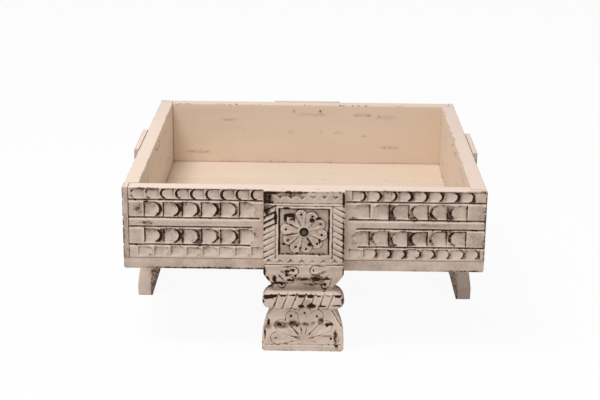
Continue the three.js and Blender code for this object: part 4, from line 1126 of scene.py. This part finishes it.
# Stains on the legs: across, up, half width, half height, how much is black dirt, and how much brown soil
LEG_STAINS = (
    (-50.5, 203, 4, 9, 1.7, 1),
    (-43, 210.4, 12, 2, 1.7, 1),
    (-46, 199, 7, 2.4, 1.3, 0.8),
    (-45, 204.5, 8, 6, 0.5, 1.3),
    (-47, 189, 6, 7, 0.55, 1.2),
    (-20, 208.5, 22, 3, 0.2, 0.9),
    (-15, 210.9, 18, 1, 1.1, 0.5),
    (-35, 178, 2, 8, 1.5, 0.6),
    (-22, 191.2, 4, 1.4, 1.2, 0.4),
    (-17.5, 181, 6, 2.2, 1.6, 0.5),
    (-23.5, 177.5, 2, 5, 1.5, 0.5),
    (-12.5, 178, 1.6, 4, 1.3, 0.4),
    (10, 175, 3, 3, 1.1, 0.4),
    (17, 177.4, 3, 1.5, 1.5, 0.4),
    (7, 143.5, 3, 2.4, 1.2, 0.4),
    (19.5, 148.5, 1.8, 3, 1.1, 0.4),
    (-25, 143, 2.6, 1.4, 1.3, 0.4),
    (-5, 138, 1.2, 2.2, 1.3, 0.4),
    (48.6, 202, 2, 10, 1.5, 0.6),
    (48.9, 150, 1.3, 36, 0.75, 0.4),
    (-20.5, 108, 4, 1.6, 1.4, 0.6),
    (-14, 109.8, 3.2, 1.3, 1.4, 0.5),
    (-21, 102.5, 2, 2.8, 1.2, 0.6),
    (-10, 101.5, 1.6, 2.4, 1.2, 0.5),
    (-17, 94, 5, 2, 1.2, 0.8),
    (-36.5, 96, 2.6, 6, 1.4, 0.7),
    (-30, 89, 9, 2.2, 1.3, 0.9),
    (-49.6, 106, 2.2, 9, 1.5, 0.8),
    (-45.5, 94.5, 3, 6, 1.5, 0.8),
    (-40, 88, 3, 3, 1.3, 0.8),
    (0, 96.5, 12, 3, 0.45, 1.3),
    (17, 97, 9, 5, 0.6, 1.4),
    (14, 103, 6, 2, 0.5, 0.9),
    (29, 97, 5, 2, 1, 0.8),
    (26, 88, 2.6, 2, 1.2, 0.5),
    (12, 88, 14, 2.6, 0.1, 0.9),
    (50, 107, 1.6, 8, 1.2, 0.5),
    (-46, 73.5, 9, 2.8, 1.7, 0.8),
    (-50.5, 68, 1.8, 6, 1.4, 0.6),
    (49.8, 69, 1.8, 7, 1.5, 0.6),
    (46, 75.5, 4, 1.4, 1.5, 0.5),
    (42, 62.5, 7, 1, 1.2, 0.4),
    (24, 61.5, 5, 1.2, 1.3, 0.4),
    (-2.5, 61, 4, 2.6, 1.2, 0.8),
    (10, 61.5, 5.5, 3.2, 1.3, 0.8),
    (5, 66, 8, 5, 0.1, 0.6),
    (-28, 34.5, 10, 5, 0.35, 1.4),
    (-14, 36.5, 6.5, 4, 0.1, 1.2),
    (-7, 35.5, 3, 3, 0.25, 1.2),
    (3, 36, 5, 2.6, 0.2, 1),
    (13, 37, 3, 2.6, 0.2, 0.9),
    (22, 39.5, 4, 5, 0.3, 1.2),
    (33, 36, 6, 2.4, 0.7, 1.1),
    (41, 20, 2.6, 9, 0.4, 1.3),
    (31, 20.5, 10, 2, 0.2, 1),
    (-44, 33.5, 5, 4, 0.1, 1.2),
    (-43.5, 38.5, 1.8, 4, 1.4, 0.7),
    (-48, 24, 1.4, 10, 0.8, 0.5),
    (42.5, 7, 2.4, 4, 0.2, 1.1),
    (-6, 18, 3, 2.4, 0.1, 0.7),
)

leg_blank = leg_mesh()
for quarter, side in enumerate(SIDES):
    leg = in_scene(f"{side}_leg_board", leg_blank.copy())
    note_board(leg.data, LEG_GRAIN[0] + LEG_GRAIN[1] * quarter)
    stain(leg.data, LEG_STAINS, quarter)
    seed = 500 + 100 * quarter

    def groove(number, start, run, width, depth, ink, step=(0, 0), count=1, taper=0, blot=0):
        add_tree(
            leg, STROKE_ROW, **mm(first_x=start[0], first_z=start[1], run_x=run[0], run_z=run[1]),
            **mm(step_x=step[0], step_z=step[1], width=width, depth=depth),
            count=count, taper=taper, ink=ink, blot=blot, lip=0.6, seed=seed + number,
        )

    add_tree(
        leg, PETALS, **mm(centre_z=ROSETTE_LEVEL, root=7.6, root_width=1.5, reach=25.8, width=4.7),
        **mm(hollow=1.1, dot_reach=22.5, plate_rim=2.6, gap_depth=1.7, hub=7.4, hub_depth=0.3),
        **mm(ground_half=31.5, ground_rise=30.5, ground_depth=3, top=0.7),
        first=radians(99), step=2 * pi / 10, count=10, dot=1.2, ink=0.3, seed=seed,
    )
    for half in (-1, 1):
        turn = QUARTER_TURN - 2 * QUARTER_STEP
        add_tree(
            leg, PETALS, **mm(centre_x=half * QUARTER_PLACE[0], centre_z=QUARTER_PLACE[1]),
            **mm(root=8, root_width=1.5, reach=32.5, width=5.4, hollow=0.7, outline=0.9, dot_reach=26.5),
            first=turn if half < 0 else pi - QUARTER_TURN, step=QUARTER_STEP, count=3, slant=0.14,
            dot=0.9, ground_half=-1, ground_rise=-1, ink=0.75, seed=seed + 20 + half,
        )
    add_tree(
        leg, PETALS, **mm(centre_x=0.8, centre_z=FAN_CENTRE),
        **mm(root=5, root_width=0.8, reach=43.5, width=8.9, hollow=0.6, outline=0.85, dot_reach=35),
        first=radians(5), step=radians(170 / 6), count=7,
        dot=1.1, ground_half=-1, ground_rise=-1, ink=0.42, seed=seed + 30,
    )
    for upwards, share, ink in ((-1, CHIP_LEVELS[0], 0.55), (1, CHIP_LEVELS[1], 0.75)):
        add_tree(
            leg, CHIP_ROW, **mm(level=panel_level(share), offset=ROW_OFFSET, pitch=13.6),
            **mm(width=10.6, height=5.9, depth=2),
            count=7, taper=1, upwards=upwards, ink=ink, seed=seed + 40 + upwards,
        )
    for number, (share, ink) in enumerate(PANEL_LINES):
        start = (-LEG_HALF - 2, panel_level(share))
        groove(50 + number, start, (2 * LEG_HALF + 4, 0), width=1.6, depth=1, ink=ink)
    for half in (-1, 1):
        line_top = panel_level(PANEL_LINES[1][0])
        start = (half * BAND_INNER, line_top)
        groove(55 + half, start, (0, BAND_FOOT - line_top), width=1.5, depth=0.8, ink=0.55)
        outer = half * (LEG_HALF + 2)
        slope = ROPE_RISE / (LEG_HALF - BAND_INNER + 2)
        run = (half * BAND_INNER - outer, abs(half * BAND_INNER - outer) * slope)
        rope = {"start": (outer, ROPE_TOP - ROPE_RISE), "run": run, "step": (0, -ROPE_STEP)}
        groove(60 + half, **rope, width=3.4, depth=1.8, ink=0.75, count=ROPE_STROKES, taper=0.6, blot=1.6)
        if half < 0:
            groove(62, **rope, width=5.4, depth=2, ink=1.7, count=ROPE_BLACKENED, taper=0.3)
    middle = (ROLL_GROOVES - 1) / 2 * ROLL_GROOVE_PITCH
    climb = (ROLL_FACE_TOP + 1 - FOOT_TOP) / (ROLL_TOP - FOOT_TOP)
    start = (-middle - ROLL_LEAN / 2, FOOT_TOP)
    run = (ROLL_LEAN * climb, (ROLL_TOP - FOOT_TOP) * climb)
    step = (ROLL_GROOVE_PITCH, 0)
    groove(70, start, run, width=2.4, depth=1.4, ink=0.3, step=step, count=ROLL_GROOVES)
    lean_at_top = ROLL_LEAN * (ROLL_FACE_TOP - ROLL_MIDDLE) / (ROLL_TOP - FOOT_TOP)
    add_tree(
        leg, CHIP_ROW, **mm(level=ROLL_FACE_TOP + 0.2, offset=lean_at_top - ROLL_GROOVE_PITCH / 2),
        **mm(pitch=ROLL_GROOVE_PITCH, width=10.2, height=3.8, depth=0.8),
        count=9, taper=0.4, upwards=-1, fill=1, ink=1.3, seed=seed + 75,
    )
    groove(78, start=(36.5, 54), run=(12.5, -21), width=1.3, depth=0.8, ink=0.8)
    sole = 2 * (FOOT_HALF - 3.5)
    groove(80, start=(-sole / 2, SOLE_LINE), run=(sole, 0), width=1.3, depth=0.8, ink=0.65)
    add_tree(leg, CARVE, roughness=LEG_ROUGHNESS)
    baked(leg, quarter * pi / 2)
    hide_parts(f"{side}_leg")
    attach(leg, "root")

# Forged nails hold the boards: three through each lapped corner, two from inside the tray into each leg,
# and a row up through each plank. Each has a square tapered shank and a head of hammered facets, painted
# over with the wood. The places are the frame's own.
NAIL_HEAD = 2.4
NAIL_HEAD_RISE = 0.8
NAIL_SHANK = 1.1
NAIL_POINT = 0.35
POINT_ROOM = 0.5 * MM
FACET_ANGLE = radians(30)
IRON_WORN = srgb(92, 76, 68)

painted_iron = worn_paint("worn_cream_on_iron", IRON_WORN, IRON_UNDER)


def driven_nails(name, material):
    """A nail on each point: a hammered head that looks along the point's aim, over a square tapered shank."""
    sizes = ("Head", "Rise", "Facets", "Shank", "Nail point", "Length", "Roughness")
    tree, geometry, size = new_tree(name, *sizes)
    entries = {"Segments": size.facets, "Rings": size.facets * 0.6, "Radius": size.head}
    ball = add_node(tree, "GeometryNodeMeshUVSphere", entries).outputs["Mesh"]
    _, (x, y, z) = point_place(tree)
    head = moved(tree, ball, Position=combined(tree, x, y, z.most(0) * size.rise / size.head))
    # The top of each head is marked as rubbed: worn paint on the painted nails, and on the boss a lighter
    # grey that is partly worn iron and partly a painted highlight.
    head = store(tree, head, "rub", ease(z, size.rise * 0.7, size.rise * 0.98))
    entries = {"Radius Top": size.shank, "Radius Bottom": size.nail_point, "Depth": size.length}
    sides = {"Vertices": 4, "Side Segments": 6}
    shank = add_node(tree, "GeometryNodeMeshCone", {**sides, **entries}).outputs["Mesh"]
    entries = {"Geometry": shank, "Translation": combined(tree, z=size.length * -1)}
    shank = add_node(tree, "GeometryNodeTransform", entries).outputs["Geometry"]
    nail = tree.nodes.new("GeometryNodeJoinGeometry")
    for part in (head, shank):
        feed(tree, nail.inputs["Geometry"], part)
    entries = {"Vector": stored(tree, "aim", "FLOAT_VECTOR")}
    turned = add_node(tree, "FunctionNodeAlignRotationToVector", entries, axis="Z").outputs["Rotation"]
    entries = {"Points": geometry, "Instance": nail.outputs["Geometry"], "Rotation": turned}
    placed = add_node(tree, "GeometryNodeInstanceOnPoints", entries).outputs["Instances"]
    real = add_node(tree, "GeometryNodeRealizeInstances", {0: placed}).outputs["Geometry"]
    place = point_place(tree)[0]
    geometry = store(tree, real, "board", place, "FLOAT_VECTOR")
    geometry = dented(tree, geometry, noise(tree, place, 420, 1) * size.roughness)
    return close_tree(tree, geometry, material)


def nail_group(name, nodes, facing, tree, slot, **sizes):
    """Nails in the places of the CAD nails, each along its longest side with its head where facing says."""
    places, aims, lengths = [], [], []
    for node in nodes:
        low, high = (np.array(corner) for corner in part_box(node))
        axis = int(np.argmax(high - low))
        middle = (low + high) / 2
        sign = facing(middle[axis])
        aim = np.zeros(3)
        aim[axis] = sign
        middle[axis] = (high if sign > 0 else low)[axis] - sign * sizes["rise"]
        places.append(middle)
        aims.append(aim)
        lengths.append(high[axis] - low[axis])
    mesh = bpy.data.meshes.new(name)
    mesh.from_pydata(places, [], [])
    note(mesh, "aim", aims, "FLOAT_VECTOR", "vector")
    group = in_scene(name, mesh)
    add_tree(group, tree, length=min(lengths) - sizes["rise"] - POINT_ROOM, **sizes)
    baked(group, 0)
    group.data.shade_smooth()
    group.data.set_sharp_from_angle(angle=FACET_ANGLE)
    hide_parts(*nodes)
    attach(group, "root")


def outwards(place):
    return 1 if place > 0 else -1


def inwards(place):
    return -outwards(place)


def downwards(place):
    return -1


PAINTED_NAILS = driven_nails("painted_nails", painted_iron)
painted_sizes = {"facets": 9, **mm(head=NAIL_HEAD, rise=NAIL_HEAD_RISE, shank=NAIL_SHANK)}
painted_sizes |= mm(nail_point=NAIL_POINT, roughness=0.25)
corner_nodes = [f"{side}_corner_nail_{number}" for side in SIDES for number in (1, 2, 3)]
leg_nodes = [f"{side}_leg_nail_{number}" for side in SIDES for number in (1, 2)]
plank_nodes = [f"{name}_nail_{n}" for name, count in zip(PLANK_NAMES, (6, 4, 6)) for n in range(1, count + 1)]
nail_group("corner_nails", corner_nodes, outwards, PAINTED_NAILS, "painted_iron", **painted_sizes)
nail_group("leg_nails", leg_nodes, inwards, PAINTED_NAILS, "painted_iron", **painted_sizes)
nail_group("plank_nails", plank_nodes, downwards, PAINTED_NAILS, "painted_iron", **painted_sizes)

# A black iron boss nail is driven into the middle of each rosette. Its domed head is forged, blackened in the
# fire and worn smooth on top, where its lighter grey is also a painted highlight; the finish is the iron's
# own, without paint.
BOSS_RADIUS = 6
BOSS_RISE = 3
SCALE_BLACK = srgb(18, 12, 10)
# The grey of the rubbed top, partly worn iron and partly a painted highlight.
WORN_IRON_AND_HIGHLIGHT = srgb(96, 82, 74)


def forged_black():
    """Nearly black dented iron; its rubbed top is a lighter grey, partly worn iron and partly a painted
    highlight.
    """
    material, tree = new_paint("blackened_iron")
    place = tree.nodes.new("ShaderNodeTexCoord").outputs["Object"]
    scale = noise(tree, place, 700, 4, 0.6)
    dents = noise(tree, place, 260, 2, 0.5, shift=4)
    worn = ease(Value(tree, noted(tree, "rub")["Fac"]) + (scale - 0.5) * 0.8, 0.35, 0.8)
    colour = mixed(tree, worn, SCALE_BLACK, WORN_IRON_AND_HIGHLIGHT)
    finish(tree, colour, 0.3 + scale * 0.16, 0.15, dents + scale * 0.3, 0.45, 0.4 * MM)
    return material


BOSS_NAILS = driven_nails("boss_nails", forged_black())
boss_nodes = [f"{side}_boss_nail" for side in SIDES]
boss_sizes = {"facets": 28, **mm(head=BOSS_RADIUS, rise=BOSS_RISE, shank=1.6, nail_point=0.5, roughness=0.3)}
nail_group("boss_nails", boss_nodes, outwards, BOSS_NAILS, "black_iron", **boss_sizes)
